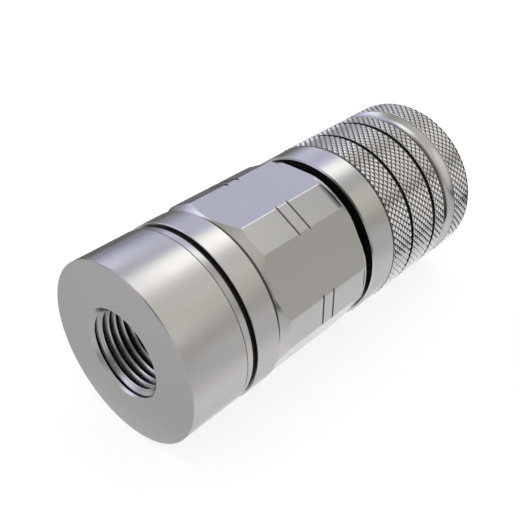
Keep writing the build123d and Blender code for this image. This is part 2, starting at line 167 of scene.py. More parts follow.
@dataclass(frozen=True)
class TurnedMetal:
    """Steel turned on a lathe, then polished or plated.

    The lathe leaves rings round the axis on cylinders and round the centre on faces.
    They are drawn at ring_spacing, which is coarser than the real feed of 0.1 mm, so that
    they show. Clouding is the slow change of gloss that plating salts leave, in clouds of
    cloud_size. Where grooves or a thread are cut, their roots get painted shade: fully at
    root_radius, and not at all root_fade further out, or further in where that is below 0.
    It starts root_start along the axis, over a length of root_lead. Lengths are in mm.
    """

    name: str
    colour: str
    edge_colour: str
    roughness: float
    ring_spacing: float
    ring_depth: float
    clouding: float
    edge_round: float
    cloud_size: float = 6.0
    root_radius: float = 0.0
    root_fade: float = 0.0
    root_start: float = -1.0
    root_lead: float = 0.3
    # Colour of the painted shade in the roots of grooves and thread
    root_shade_colour: str = "#0C0B0B"

    def material(self) -> bpy.types.Material:
        """Build the finish as a node material.

        Returns:
            The new material.
        """
        material = bpy.data.materials.new(self.name)
        material.use_nodes = True
        tree = material.node_tree
        shader = tree.nodes["Principled BSDF"]
        place = add_node(tree, "ShaderNodeTexCoord").outputs["Object"]
        parts = add_node(tree, "ShaderNodeSeparateXYZ", {0: place})
        across = add_node(
            tree, "ShaderNodeCombineXYZ", {1: parts.outputs["Y"], 2: parts.outputs["Z"]}
        )
        radius = add_node(
            tree, "ShaderNodeVectorMath", {0: across.outputs[0]}, operation="LENGTH"
        )
        lathe = add_node(
            tree,
            "ShaderNodeCombineXYZ",
            {0: parts.outputs["X"], 1: radius.outputs["Value"]},
        )
        rings = add_node(
            tree,
            "ShaderNodeTexNoise",
            {
                "Vector": lathe.outputs[0],
                "Scale": 1 / (self.ring_spacing * MM),
                "Detail": 3.0,
            },
        )
        clouds = add_node(
            tree,
            "ShaderNodeTexNoise",
            {"Vector": place, "Scale": 1 / (self.cloud_size * MM), "Detail": 2.0},
        )
        gloss = add_node(
            tree,
            "ShaderNodeMapRange",
            {
                "Value": clouds.outputs["Fac"],
                "From Min": CLOUD_LOW,
                "From Max": CLOUD_HIGH,
                "To Min": self.roughness * (1 - self.clouding),
                "To Max": self.roughness * (1 + self.clouding),
            },
        )
        relief = add_node(
            tree,
            "ShaderNodeBump",
            {"Height": rings.outputs["Fac"], "Distance": self.ring_depth * MM},
        )
        if self.edge_round > 0:
            corner = add_node(
                tree, "ShaderNodeBevel", {"Radius": self.edge_round * MM}, samples=6
            )
            tree.links.new(corner.outputs[0], relief.inputs["Normal"])
        shader.inputs["Base Color"].default_value = linear(self.colour)
        # Painted shade: the colour darkens towards the roots of grooves and thread
        if self.root_fade:
            root_shaded = self.paint_root_shade(tree, parts.outputs["X"], radius.outputs["Value"])
            tree.links.new(root_shaded, shader.inputs["Base Color"])
        shader.inputs["Specular Tint"].default_value = linear(self.edge_colour)
        shader.inputs["Metallic"].default_value = 1.0
        tree.links.new(gloss.outputs["Result"], shader.inputs["Roughness"])
        tree.links.new(relief.outputs[0], shader.inputs["Normal"])
        return material

    def paint_root_shade(
        self,
        tree: bpy.types.NodeTree,
        along: bpy.types.NodeSocket,
        radius: bpy.types.NodeSocket,
    ) -> bpy.types.NodeSocket:
        """Paint shade into the roots of the grooves or of the thread, by darkening the
        colour.

        Args:
            tree: The material's node tree.
            along: The place along the axis.
            radius: The distance from the axis.

        Returns:
            The colour, which is the painted shade's dark colour in the roots.
        """
        above_root = add_node(
            tree,
            "ShaderNodeMapRange",
            {
                "Value": radius,
                "From Min": self.root_radius * MM,
                "From Max": (self.root_radius + self.root_fade) * MM,
            },
        )
        before = add_node(
            tree,
            "ShaderNodeMapRange",
            {
                "Value": along,
                "From Min": self.root_start * MM,
                "From Max": (self.root_start + self.root_lead) * MM,
                "To Min": 1.0,
                "To Max": 0.0,
            },
        )
        unshaded = add_node(
            tree,
            "ShaderNodeMath",
            {0: above_root.outputs["Result"], 1: before.outputs["Result"]},
            operation="MAXIMUM",
        )
        # Painted shade: the dark root colour stands for the shade that falls in the roots
        root_shaded = add_node(
            tree,
            "ShaderNodeMix",
            {
                0: unshaded.outputs[0],
                6: linear(self.root_shade_colour),
                7: linear(self.colour),
            },
            data_type="RGBA",
        )
        return root_shaded.outputs[2]


@dataclass(frozen=True)
class Elastomer:
    """Nitrile rubber or a filled polymer: near black, with a fine dull grain, in mm."""

    name: str
    colour: str
    roughness: float
    ior: float
    grain: float
    grain_depth: float = 0.02

    def material(self) -> bpy.types.Material:
        """Build the finish as a node material.

        Returns:
            The new material.
        """
        material = bpy.data.materials.new(self.name)
        material.use_nodes = True
        tree = material.node_tree
        shader = tree.nodes["Principled BSDF"]
        place = add_node(tree, "ShaderNodeTexCoord").outputs["Object"]
        grain = add_node(
            tree,
            "ShaderNodeTexNoise",
            {"Vector": place, "Scale": 1 / (self.grain * MM), "Detail": 4.0},
        )
        relief = add_node(
            tree,
            "ShaderNodeBump",
            {"Height": grain.outputs["Fac"], "Distance": self.grain_depth * MM},
        )
        shader.inputs["Base Color"].default_value = linear(self.colour)
        shader.inputs["Roughness"].default_value = self.roughness
        shader.inputs["IOR"].default_value = self.ior
        tree.links.new(relief.outputs[0], shader.inputs["Normal"])
        return material


@dataclass(frozen=True)
class MattSheet:
    """Uncoated paper, or a grey sheet that paints a reflection, laid flat: dull all over,
    with no highlight.
    """

    name: str
    colour: str

    def material(self) -> bpy.types.Material:
        """Build the finish as a node material.

        Returns:
            The new material.
        """
        material = bpy.data.materials.new(self.name)
        material.use_nodes = True
        shader = material.node_tree.nodes["Principled BSDF"]
        shader.inputs["Base Color"].default_value = linear(self.colour)
        shader.inputs["Roughness"].default_value = 1.0
        shader.inputs["Specular IOR Level"].default_value = 0.0
        return material


# Zinc-nickel plating over turned steel: a soft satin grey with smooth, blurred reflections
SATIN_PLATING = TurnedMetal(
    name="zinc_nickel_plated_steel_turned",
    colour="#A3A19F",
    edge_colour="#D0D0D2",
    roughness=0.2,
    ring_spacing=0.25,
    ring_depth=0.0015,
    clouding=0.12,
    edge_round=0.0,
)

# The same plating on the knurl, where the pyramids' own flanks make the sparkle; painted
# shade darkens the grooves towards their bottoms
KNURLED_PLATING = TurnedMetal(
    name="zinc_nickel_plated_steel_knurled",
    colour="#BBB9B7",
    edge_colour="#D0D0D2",
    roughness=0.12,
    ring_spacing=0.3,
    ring_depth=0.001,
    clouding=0.1,
    edge_round=0.0,
    root_radius=21.23,
    root_fade=0.045,
)

# The thread was cut with a tap: its flanks are duller than the turned outside, and painted
# shade darkens its root, but not on the chamfer at the port's mouth
TAPPED_PLATING = TurnedMetal(
    name="zinc_nickel_plated_steel_tapped",
    colour="#A6A4A2",
    edge_colour="#D0D0D2",
    roughness=0.26,
    ring_spacing=0.3,
    ring_depth=0.001,
    clouding=0.1,
    edge_round=0.0,
    root_radius=10.48,
    root_fade=-0.25,
    root_start=0.7,
)

# Inner steel pieces: finer turned, a little darker and warmer than the plating
INNER_STEEL = TurnedMetal(
    name="carbon_steel_fine_turned",
    colour="#B0AEAB",
    edge_colour="#FFFFFF",
    roughness=0.24,
    ring_spacing=0.2,
    ring_depth=0.002,
    clouding=0.15,
    edge_round=0.08,
)

# Chrome steel balls, lapped: a sharp bright mirror
BALL_STEEL = TurnedMetal(
    name="chrome_steel_lapped",
    colour="#D2D2D3",
    edge_colour="#FFFFFF",
    roughness=0.06,
    ring_spacing=0.6,
    ring_depth=0.0002,
    clouding=0.3,
    edge_round=0.03,
)

# Spring wire, drawn and oil tempered: a darker grey with a dull sheen
SPRING_WIRE = TurnedMetal(
    name="spring_steel_drawn_wire",
    colour="#8E8D8C",
    edge_colour="#F0F0F0",
    roughness=0.34,
    ring_spacing=0.2,
    ring_depth=0.002,
    clouding=0.2,
    edge_round=0.05,
)

# Seals: nitrile rubber, moulded; they read as black lines between bright metal
# Partly painted shade: the colour is blacker than rubber is, and stands for the shade of
# the deep gaps the seals sit in
SEAL_RUBBER = Elastomer(
    name="nitrile_rubber_moulded", colour="#070708", roughness=0.8, ior=1.3, grain=0.15
)

# Guide and back-up rings: filled PTFE, machined, near black and a little waxy
# Partly painted shade: the colour is blacker than the polymer is, and stands for the shade
# of the deep neck gap round the guide ring
RING_POLYMER = Elastomer(
    name="filled_ptfe_machined", colour="#030303", roughness=0.8, ior=1.2, grain=0.2
)


@dataclass(frozen=True)
class Corner:
    """One corner of a half profile, with the size of its edge round."""

    x: float
    r: float
    edge: float = 0.03


class MeshDraft:
    """Points in millimetres, each with its own normal, and the faces between them."""

    def __init__(self) -> None:
        """Start with no points and no faces."""
        self.points: list[Point] = []
        self.normals: list[Point] = []
        self.faces: list[tuple[int, ...]] = []
        self.finish: list[int] = []

    def grid(
        self,
        rows: list[Row],
        wrap_rows: bool = False,
        finish: int = 0,
    ) -> None:
        """Join rows of points round the axis with four-sided faces.

        Args:
            rows: Rows along the profile, each with a point and a normal per column.
            wrap_rows: Whether the last row joins the first.
            finish: Number of the material that the faces take.
        """
        base = len(self.points)
        width = len(rows[0])
        for row in rows:
            for point, normal in row:
                self.points.append(point)
                self.normals.append(normal)
        pairs = [(i, i + 1) for i in range(len(rows) - 1)]
        if wrap_rows:
            pairs.append((len(rows) - 1, 0))
        for low, high in pairs:
            for j in range(width):
                k = (j + 1) % width
                ring = (
                    base + low * width + j,
                    base + low * width + k,
                    base + high * width + k,
                    base + high * width + j,
                )
                self.face(ring, finish)

    def face(self, ring: tuple[int, ...], finish: int = 0) -> None:
        """Add a face, without the corners that share a place with the next one.

        Args:
            ring: Numbers of its points in order.
            finish: Number of the material that it takes.
        """
        kept = [
            here
            for here, there in zip(ring, ring[1:] + ring[:1])
            if math.dist(self.points[here], self.points[there]) > SAME_PLACE
        ]
        if len(kept) > 2:
            self.faces.append(tuple(kept))
            self.finish.append(finish)

    def facet(self, corners: list[Point], outward: Vector, finish: int = 0) -> None:
        """Add one flat face with corners of its own.

        Args:
            corners: Its corners in order.
            outward: A direction on the side that it faces.
            finish: Number of the material that it takes.
        """
        normal = Vector((0, 0, 0))
        for here, there in zip(corners, corners[1:] + corners[:1]):
            normal += Vector(here).cross(Vector(there))
        if normal.length < NO_AREA:
            return
        normal.normalize()
        if normal.dot(outward) < 0:
            corners = corners[::-1]
            normal = -normal
        base = len(self.points)
        self.points += corners
        self.normals += [tuple(normal)] * len(corners)
        self.faces.append(tuple(range(base, base + len(corners))))
        self.finish.append(finish)

    def build(
        self, name: str, materials: list[bpy.types.Material]
    ) -> bpy.types.Object:
        """Make the object in metres, with the drafted normals.

        Args:
            name: The piece's name.
            materials: Its materials, in the order of the finish numbers.

        Returns:
            The new object, linked to the scene.
        """
        mesh = bpy.data.meshes.new(name)
        mesh.from_pydata(
            [tuple(c * MM for c in point) for point in self.points], [], self.faces
        )
        for material in materials:
            mesh.materials.append(material)
        mesh.polygons.foreach_set("material_index", self.finish)
        mesh.polygons.foreach_set("use_smooth", [True] * len(self.faces))
        mesh.update()
        mesh.normals_split_custom_set_from_vertices(self.normals)
        piece = bpy.data.objects.new(name, mesh)
        bpy.context.scene.collection.objects.link(piece)
        return piece


def round_point(x: float, r: float, angle: float) -> Point:
    """Return the point at that place along the axis, radius and angle in radians."""
    return x, -r * math.sin(angle), r * math.cos(angle)


def profile_steps(corners: list[Corner], closed: bool = True) -> list[Step]:
    """Round the corners of a half profile and give each step its outward normal.

    The profile runs clockwise: along the outside towards the mouth, and back inside.

    Args:
        corners: The corners in order.
        closed: Whether the last corner joins the first.

    Returns:
        The steps in order, more of them at a wider round.
    """
    steps: list[Step] = []
    count = len(corners)
    for i, corner in enumerate(corners):
        here = Vector((corner.x, corner.r))
        before = corners[i - 1] if closed or i > 0 else None
        after = corners[(i + 1) % count] if closed or i < count - 1 else None
        if before is None or after is None:
            other = after or before
            line = Vector((other.x, other.r)) - here
            if before is not None:
                line = -line
            line.normalize()
            steps.append((here.x, here.y, -line.y, line.x))
            continue
        back = Vector((before.x, before.r)) - here
        ahead = Vector((after.x, after.r)) - here
        opening = back.angle(ahead)
        reach = min(
            corner.edge / math.tan(opening / 2),
            LONGEST_ROUND * back.length,
            LONGEST_ROUND * ahead.length,
        )
        back.normalize()
        ahead.normalize()
        start = Vector((back.y, -back.x))
        end = Vector((-ahead.y, ahead.x))
        parts = 4 if corner.edge > WIDE_ROUND else 2 if corner.edge > SMALL_ROUND else 1
        first = here + back * reach
        last = here + ahead * reach
        for part in range(parts + 1):
            share = part / parts
            curve = (
                first * (1 - share) ** 2
                + here * 2 * share * (1 - share)
                + last * share**2
            )
            normal = (start * (1 - share) + end * share).normalized()
            steps.append((curve.x, curve.y, normal.x, normal.y))
    return steps


def turned_rows(steps: list[Step], angles: list[float]) -> list[Row]:
    """Turn profile steps into rows of points round the axis.

    Args:
        steps: Steps of a half profile, as profile_steps gives them.
        angles: The columns' angles in radians.

    Returns:
        A row for each step.
    """
    return [
        [(round_point(x, r, a), round_point(nx, nr, a)) for a in angles]
        for x, r, nx, nr in steps
    ]


def full_circle(columns: int) -> list[float]:
    """Return evenly spaced angles round the axis, in radians."""
    return [math.tau * i / columns for i in range(columns)]


def envelope_at(envelope: Envelope, x: float) -> float:
    """Find the radius of a broken line at one place.

    Args:
        envelope: The line's corners, each with its place along the axis and its radius.
        x: The place along the axis.

    Returns:
        The radius there, or that of the nearer end.
    """
    if x <= envelope[0][0]:
        return envelope[0][1]
    for (x0, r0), (x1, r1) in zip(envelope, envelope[1:]):
        if x <= x1:
            return r0 + (r1 - r0) * (x - x0) / (x1 - x0)
    return envelope[-1][1]


def clip(corners: list[Point], low: float, high: float) -> list[Point]:
    """Keep the part of a polygon whose first coordinate lies between two values.

    Args:
        corners: The polygon, as (x, angle, radius) corners.
        low: Lowest x that stays.
        high: Highest x that stays.

    Returns:
        The corners that are left.
    """
    for sign, bound in ((1, low), (-1, -high)):
        kept: list[Point] = []
        for here, there in zip(corners, corners[1:] + corners[:1]):
            here_in = sign * here[0] >= bound
            there_in = sign * there[0] >= bound
            if here_in:
                kept.append(here)
            if here_in != there_in:
                share = (bound * sign - here[0]) / (there[0] - here[0])
                kept.append(tuple(a + (b - a) * share for a, b in zip(here, there)))
        corners = kept
        if len(corners) < 3:
            return []
    return corners


@dataclass(frozen=True)
class DiamondKnurl:
    """Crossed V grooves at 45 degrees that leave rows of small pyramids.

    The rows stand at half the pitch, the first one at first_x, and flat is the share of a
    pyramid's width that its worn top takes.
    """

    starts: int = 78
    pitch: float = 1.736
    root: float = 21.225
    tip: float = 21.45
    flat: float = 0.14
    first_x: float = 65.85

    def cut(self, draft: MeshDraft, top: Envelope, floor: Envelope, finish: int) -> None:
        """Add the pyramids of one band.

        Args:
            draft: The mesh that gets them.
            top: Highest radius along the band, which trims the pyramids at its ends.
            floor: Lowest radius along the band, which closes the grooves at its ends.
            finish: Number of the material that they take.
        """
        start, end = top[0][0], top[-1][0]
        cuts = sorted({x for x, _ in top + floor if start <= x <= end})
        half = self.pitch / 2
        turn = math.pi / self.starts
        first = math.floor((start - self.first_x) / half) - 1
        last = math.ceil((end - self.first_x) / half) + 1
        for i in range(first, last + 1):
            centre = self.first_x + i * half
            slabs = [
                (a, b)
                for a, b in zip(cuts, cuts[1:])
                if b > centre - half and a < centre + half
            ]
            for polygon in self.pyramid(half, turn):
                for low, high in slabs:
                    moved = [(centre + x, angle, r) for x, angle, r in polygon]
                    trimmed = [
                        (
                            x,
                            angle,
                            min(max(r, envelope_at(floor, x)), envelope_at(top, x)),
                        )
                        for x, angle, r in clip(moved, low, high)
                    ]
                    if trimmed:
                        self.repeat(draft, trimmed, (i + 1) % 2, finish)

    def pyramid(self, half: float, turn: float) -> list[list[Point]]:
        """Lay out one pyramid about x = 0 and angle 0.

        Args:
            half: Half its length along the axis.
            turn: Half its width, as an angle.

        Returns:
            Its flat top and its four flanks, with (x, angle, radius) corners.
        """
        top, side = half * self.flat, turn * self.flat
        faces = [
            [
                (top, 0.0, self.tip),
                (0.0, side, self.tip),
                (-top, 0.0, self.tip),
                (0.0, -side, self.tip),
            ]
        ]
        for along in (1, -1):
            for round_ in (1, -1):
                faces.append(
                    [
                        (along * half, 0.0, self.root),
                        (0.0, round_ * turn, self.root),
                        (0.0, round_ * side, self.tip),
                        (along * top, 0.0, self.tip),
                    ]
                )
        return faces

    def repeat(
        self, draft: MeshDraft, polygon: list[Point], parity: int, finish: int
    ) -> None:
        """Copy one trimmed face round the axis, once for each start.

        Args:
            draft: The mesh that gets the copies.
            polygon: The face, with (x, angle, radius) corners.
            parity: 1 for a row that stands half a pitch round from the first, 0 for others.
            finish: Number of the material that they take.
        """
        turn = math.pi / self.starts
        for j in range(self.starts):
            shift = (2 * j + parity) * turn
            corners = [round_point(x, r, angle + shift) for x, angle, r in polygon]
            draft.facet(corners, Vector(round_point(0.0, 1.0, shift)), finish)


@dataclass(frozen=True)
class PipeThread:
    """The inside thread of the port, with a fine seam on the flank towards its mouth.

    That flank leans about 38 degrees, where the standard for this thread is 27.5, so that
    its light band is as wide as on the real one.
    """

    pitch: float = 1.814
    major: float = 10.478
    minor: float = 9.316
    root_end: float = 0.27
    seam_start: float = 0.93
    seam_end: float = 1.0
    seam_depth: float = 0.3
    crest_start: float = 1.243
    crest_end: float = 1.363
    mouth_radius: float = 10.65
    end: float = 16.1
    relief_start: float = 15.5
    relief_slope: float = 2.0
    columns: int = 120

    def ridge(self) -> list[Step]:
        """Lay out one pitch of the ridge.

        Returns:
            Its steps, from the port's mouth inwards.
        """
        corners = [
            Corner(self.pitch, self.major),
            Corner(self.crest_end, self.minor),
            Corner(self.crest_start, self.minor),
            Corner(self.seam_end, self.minor + self.seam_depth),
            Corner(self.seam_start, self.minor + self.seam_depth),
            Corner(self.root_end, self.major),
            Corner(0.0, self.major),
        ]
        return profile_steps(corners, closed=False)[::-1]

    def cut(self, draft: MeshDraft, finish: int) -> None:
        """Add the ridges, from the chamfered mouth of the port to the relief cone.

        Args:
            draft: The mesh that gets them.
            finish: Number of the material that they take.
        """
        ridge = self.ridge()
        turns = math.ceil(self.end / self.pitch) + 1
        rows: list[Row] = []
        for turn in range(-1, turns):
            for place, radius, along, out in ridge:
                row = []
                for column in range(self.columns + 1):
                    angle = math.tau * column / self.columns
                    x = (turn + column / self.columns) * self.pitch + place
                    row.append(self.trim(x, radius, along, out, angle))
                rows.append(row)
        base = len(draft.points)
        width = self.columns + 1
        for row in rows:
            for point, normal in row:
                draft.points.append(point)
                draft.normals.append(normal)
        for i in range(len(rows) - 1):
            for j in range(self.columns):
                low = base + i * width + j
                high = low + width
                if rows[i + 1][j + 1][0][0] <= 0 or rows[i][j][0][0] >= self.end:
                    continue
                draft.faces.append((low, high, high + 1, low + 1))
                draft.finish.append(finish)

    def trim(
        self, x: float, radius: float, along: float, out: float, angle: float
    ) -> tuple[Point, Point]:
        """Hold one point of the ridge inside the chamfer and the relief cone.

        Args:
            x: Its place along the axis.
            radius: Its radius.
            along: The normal's part along the axis.
            out: The normal's part away from the axis.
            angle: Its angle about the axis.

        Returns:
            The held point and its normal.
        """
        held = min(max(x, 0.0), self.end)
        chamfer = self.mouth_radius - held
        relief = self.major - (held - self.relief_start) * self.relief_slope
        if chamfer > radius:
            radius, along, out = chamfer, -math.sqrt(0.5), -math.sqrt(0.5)
        if relief < radius:
            radius = relief
        return round_point(held, radius, angle), round_point(along, out, angle)


@dataclass(frozen=True)
class PortAdapter:
    """The turned end piece with the threaded port, screwed into the body.

    A fine line is turned where the outside starts to taper towards the body.
    """

    radius: float = 21.25
    edge: float = 0.25
    edge_length: float = 0.14
    taper_start: float = 14.95
    taper_lip: float = 0.02
    line_half: float = 0.1
    line_depth: float = 0.2
    length: float = 17.3
    taper_drop: float = 0.36
    back_round: float = 0.8
    spigot_radius: float = 17.0
    spigot_end: float = 34.0
    spigot_chamfer: float = 0.6
    groove_radius: float = 15.0
    groove_start: float = 20.4
    groove_end: float = 24.27
    chamber_radius: float = 13.0
    flare_start: float = 22.0
    flare_end: float = 26.5
    flow_radius: float = 8.5

    def build(self, materials: list[bpy.types.Material]) -> bpy.types.Object:
        """Build the adapter with its threaded bore, dress it and place it.

        Args:
            materials: The finishes of the turned outside and of the thread.

        Returns:
            The adapter.
        """
        thread = PipeThread()
        slope = thread.relief_slope
        cone_end = thread.relief_start + (thread.major - self.flow_radius) / slope
        relief_end = thread.major - (thread.end - thread.relief_start) * slope
        line_start = self.taper_start - self.line_half
        line_end = self.taper_start + self.line_half
        outline = [
            Corner(0.0, thread.mouth_radius),
            Corner(0.0, self.radius - self.edge, 0.03),
            Corner(self.edge_length, self.radius, 0.03),
            Corner(line_start, self.radius),
            Corner(line_start, self.radius - self.line_depth),
            Corner(line_end, self.radius - self.line_depth),
            Corner(line_end, self.radius - self.taper_lip),
            Corner(self.length, self.radius - self.taper_drop, self.back_round),
            Corner(self.length, self.spigot_radius),
            Corner(self.groove_start, self.spigot_radius),
            Corner(self.groove_start, self.groove_radius),
            Corner(self.groove_end, self.groove_radius),
            Corner(self.groove_end, self.spigot_radius),
            Corner(self.spigot_end - self.spigot_chamfer, self.spigot_radius),
            Corner(self.spigot_end, self.spigot_radius - self.spigot_chamfer),
            Corner(self.spigot_end, self.chamber_radius),
            Corner(self.flare_end, self.chamber_radius),
            Corner(self.flare_start, self.flow_radius),
            Corner(cone_end, self.flow_radius),
            Corner(thread.end, relief_end),
        ]
        draft = MeshDraft()
        steps = profile_steps(outline, closed=False)
        draft.grid(turned_rows(steps, full_circle(ROUND_COLUMNS)))
        thread.cut(draft, 1)
        piece = draft.build("threaded_port_adapter", materials)
        return fit(piece, Body.COUPLER, "port_adapter")


@dataclass(frozen=True)
class BallHole:
    """One of the nose's radial holes, which narrow inwards to hold a ball."""

    x: float = 90.8
    radius: float = 2.45
    seat_top: float = 13.248
    seat_slope: float = 0.364
    outer: float = 16.0
    inner: float = 12.3
    count: int = 8
    rows: int = 12

    def rim(self, wall: float, along: float, round_: float) -> tuple[float, float]:
        """Return where the hole meets a round wall, in one direction from its centre.

        Args:
            wall: The wall's radius.
            along: The direction's part along the axis.
            round_: The direction's part round the axis.

        Returns:
            The place along the axis, and the angle from the hole's centre.
        """
        reach = self.radius
        # Each pass comes nearer to where the narrowing hole meets the wall
        for _ in range(4):
            height = math.sqrt(wall**2 - (reach * round_) ** 2)
            reach = self.radius - max(0.0, self.seat_top - height) * self.seat_slope
        return self.x + reach * along, math.asin(reach * round_ / wall)

    def cut(self, draft: MeshDraft, middle: float, start: float, end: float) -> None:
        """Add the part of the nose wall that surrounds one hole, up to the next ones.

        Args:
            draft: The mesh that gets it.
            middle: The hole's angle about the axis.
            start: Where that part of the wall starts along the axis.
            end: Where it ends.
        """
        half = math.pi / self.count
        columns = ROUND_COLUMNS // self.count
        turns = [-half + math.tau / ROUND_COLUMNS * i for i in range(columns + 1)]
        rows = [start + (end - start) * i / self.rows for i in range(self.rows + 1)]
        edge = [(start, a) for a in turns[:-1]]
        edge += [(x, half) for x in rows[:-1]]
        edge += [(end, a) for a in reversed(turns[1:])]
        edge += [(x, -half) for x in reversed(rows[1:])]
        loops: list[Row] = []
        walls = ((self.outer, 1.0), (self.inner, -1.0))
        for wall, sign in walls:
            loop, rim = [], []
            for x, angle in edge:
                gap = math.hypot(x - self.x, wall * angle)
                along, round_ = (x - self.x) / gap, wall * angle / gap
                rim_x, rim_angle = self.rim(wall, along, round_)
                loop.append(
                    (
                        round_point(x, wall, middle + angle),
                        round_point(0.0, sign, middle + angle),
                    )
                )
                rim.append(
                    (
                        round_point(rim_x, wall, middle + rim_angle),
                        round_point(0.0, sign, middle + rim_angle),
                    )
                )
            loops += [loop, rim] if sign > 0 else [rim, loop]
        for outside, inside in ((loops[0], loops[1]), (loops[2], loops[3])):
            draft.grid([inside, outside])
        bore: list[Row] = []
        for rim in (loops[2], loops[1]):
            row: Row = []
            for point, _ in rim:
                centre = round_point(self.x, math.hypot(*point[1:]), middle)
                inward = (Vector(centre) - Vector(point)).normalized()
                row.append((point, tuple(inward)))
            bore.append(row)
        draft.grid(bore)


@dataclass(frozen=True)
class CouplerBody:
    """The body: collar, wrench hexagon, neck, and nose with the holes for the balls.

    The hexagon's six wide flats stand closer to the axis than the narrow ones between them.
    Two notches are turned across each narrow flat. Behind the collar a recess and a cone
    lead up to the flats. At the far end the narrow flats run out in a curve, and
    far_contour is what the lathe leaves there: a fine groove and a land, which starts at
    its corner land_corner. first_hole and column_step are in degrees, the rest in mm.
    """

    start: float = 17.9
    socket_radius: float = 17.05
    socket_chamfer: float = 0.4
    socket_end: float = 38.0
    chamber_radius: float = 13.7
    chamber_end: float = 61.05
    collar_radius: float = 21.4
    collar_edge: float = 0.12
    collar_end: float = 24.4
    near_foot: float = 18.95
    near_slope: float = 0.8258
    recess_end: float = 25.9
    recess_radius: float = 19.4
    wide_flat: float = 20.44
    narrow_flat: float = 21.49
    run_out_start: float = 52.0
    run_out_end: float = 53.7
    run_out_drop: float = 0.28
    run_out_parts: int = 4
    far_contour: tuple[tuple[float, float], ...] = (
        (53.7, 22.0),
        (53.8, 20.6),
        (54.15, 20.6),
        (54.2, 21.12),
        (54.95, 21.02),
        (55.1, 20.8),
    )
    land_corner: int = 3
    far_end: float = 55.1
    edge: float = 0.2
    notches: tuple[float, float] = (38.705, 42.145)
    notch_width: float = 0.55
    notch_depth: float = 0.4
    neck_radius: float = 17.4
    nose_start: float = 62.0
    nose_radius: float = 16.0
    nose_end: float = 98.8
    nose_chamfer: float = 0.5
    mouth_radius: float = 12.3
    mouth_lead: float = 0.7
    mouth_lead_length: float = 1.2
    stop_groove: tuple[float, float] = (96.25, 97.55)
    stop_groove_radius: float = 15.15
    seal_groove: tuple[float, float] = (79.38, 83.2)
    seal_groove_radius: float = 14.2
    hole_start: float = 87.5
    hole_end: float = 94.1
    first_hole: float = 22.5
    column_step: float = 1.5

    def corner_angle(self) -> float:
        """Work out how far round a wide flat reaches.

        Returns:
            The angle from its middle to its corner.
        """
        half = math.radians(30)
        aside = self.narrow_flat / math.sin(half) - self.wide_flat / math.tan(half)
        return math.atan2(aside, self.wide_flat)

    def notch_end(self) -> float:
        """Work out where the notches run out on a wide flat.

        Returns:
            The angle there, from the wide flat's middle.
        """
        floor = self.narrow_flat - self.notch_depth
        half = math.radians(30)
        return math.atan2(
            floor - self.wide_flat * math.cos(half), self.wide_flat * math.sin(half)
        )

    def columns(self) -> list[float]:
        """Choose the columns' angles, close beside each corner of a flat.

        Returns:
            The angles in order, in radians.
        """
        corner = self.corner_angle()
        gap = self.edge / self.collar_radius
        run_out = self.notch_end()
        angles: list[float] = []
        for k in range(6):
            base = SIXTH * k
            stops = (
                -corner + gap,
                -run_out,
                run_out,
                corner - gap,
                corner + gap,
                SIXTH - corner - gap,
            )
            for a, b in zip(stops, stops[1:]):
                count = max(1, round((b - a) / math.radians(self.column_step)))
                angles += [base + a + (b - a) * i / count for i in range(count)]
            angles.append(base + stops[-1])
        return angles

    def flat_at(self, angle: float) -> tuple[float, Point]:
        """Find the flat that an angle falls on.

        Args:
            angle: The angle about the axis.

        Returns:
            The hexagon's radius there, and the flat's normal.
        """
        wide = round(angle / SIXTH) * SIXTH
        narrow = math.floor(angle / SIXTH) * SIXTH + SIXTH / 2
        choices = [
            (self.wide_flat / math.cos(angle - wide), wide),
            (self.narrow_flat / math.cos(angle - narrow), narrow),
        ]
        radius, middle = min(choices)
        return radius, round_point(0.0, 1.0, middle)

    def column(self, angle: float) -> Row:
        """Lay out the hexagon at one angle, from the recess to the neck.

        Args:
            angle: The angle about the axis.

        Returns:
            The points there in order, with their normals.
        """
        flat, face = self.flat_at(angle)
        lean = math.hypot(1.0, self.near_slope)
        cone = round_point(-self.near_slope / lean, 1 / lean, angle)
        start = self.recess_end
        cone_end = self.collar_end + (flat - self.near_foot) / self.near_slope
        corner = max(start, cone_end)
        start_normal = cone if cone_end > start else face
        middle = (math.floor(angle / SIXTH) + 0.5) * SIXTH
        bottom = (self.narrow_flat - self.notch_depth) / math.cos(angle - middle)
        narrow = round_point(0.0, 1.0, middle)
        ahead, behind = (1.0, 0.0, 0.0), (-1.0, 0.0, 0.0)
        points: Row = []

        def add(x: float, radius: float, normal: Point) -> None:
            """Add the column's next point."""
            points.append((round_point(x, radius, angle), normal))

        def cone_radius(x: float) -> float:
            """Return the radius of the cone, or of the flat that cuts it."""
            return min(flat, self.near_foot + (x - self.collar_end) * self.near_slope)

        add(start, self.recess_radius, behind)
        add(start, cone_radius(start), behind)
        add(start, cone_radius(start), start_normal)
        add(corner, cone_radius(corner), start_normal)
        add(corner, cone_radius(corner), face)
        for notch in self.notches:
            low, high = notch - self.notch_width / 2, notch + self.notch_width / 2
            floor = min(flat, bottom)
            floor_normal = narrow if flat > bottom + SAME_PLACE else face
            add(low, flat, face)
            add(low, flat, ahead)
            add(low, floor, ahead)
            add(low, floor, floor_normal)
            add(high, floor, floor_normal)
            add(high, floor, behind)
            add(high, flat, behind)
            add(high, flat, face)
        for x, radius, normal in self.far_steps(angle, flat, face, narrow):
            add(x, radius, normal)
        return points

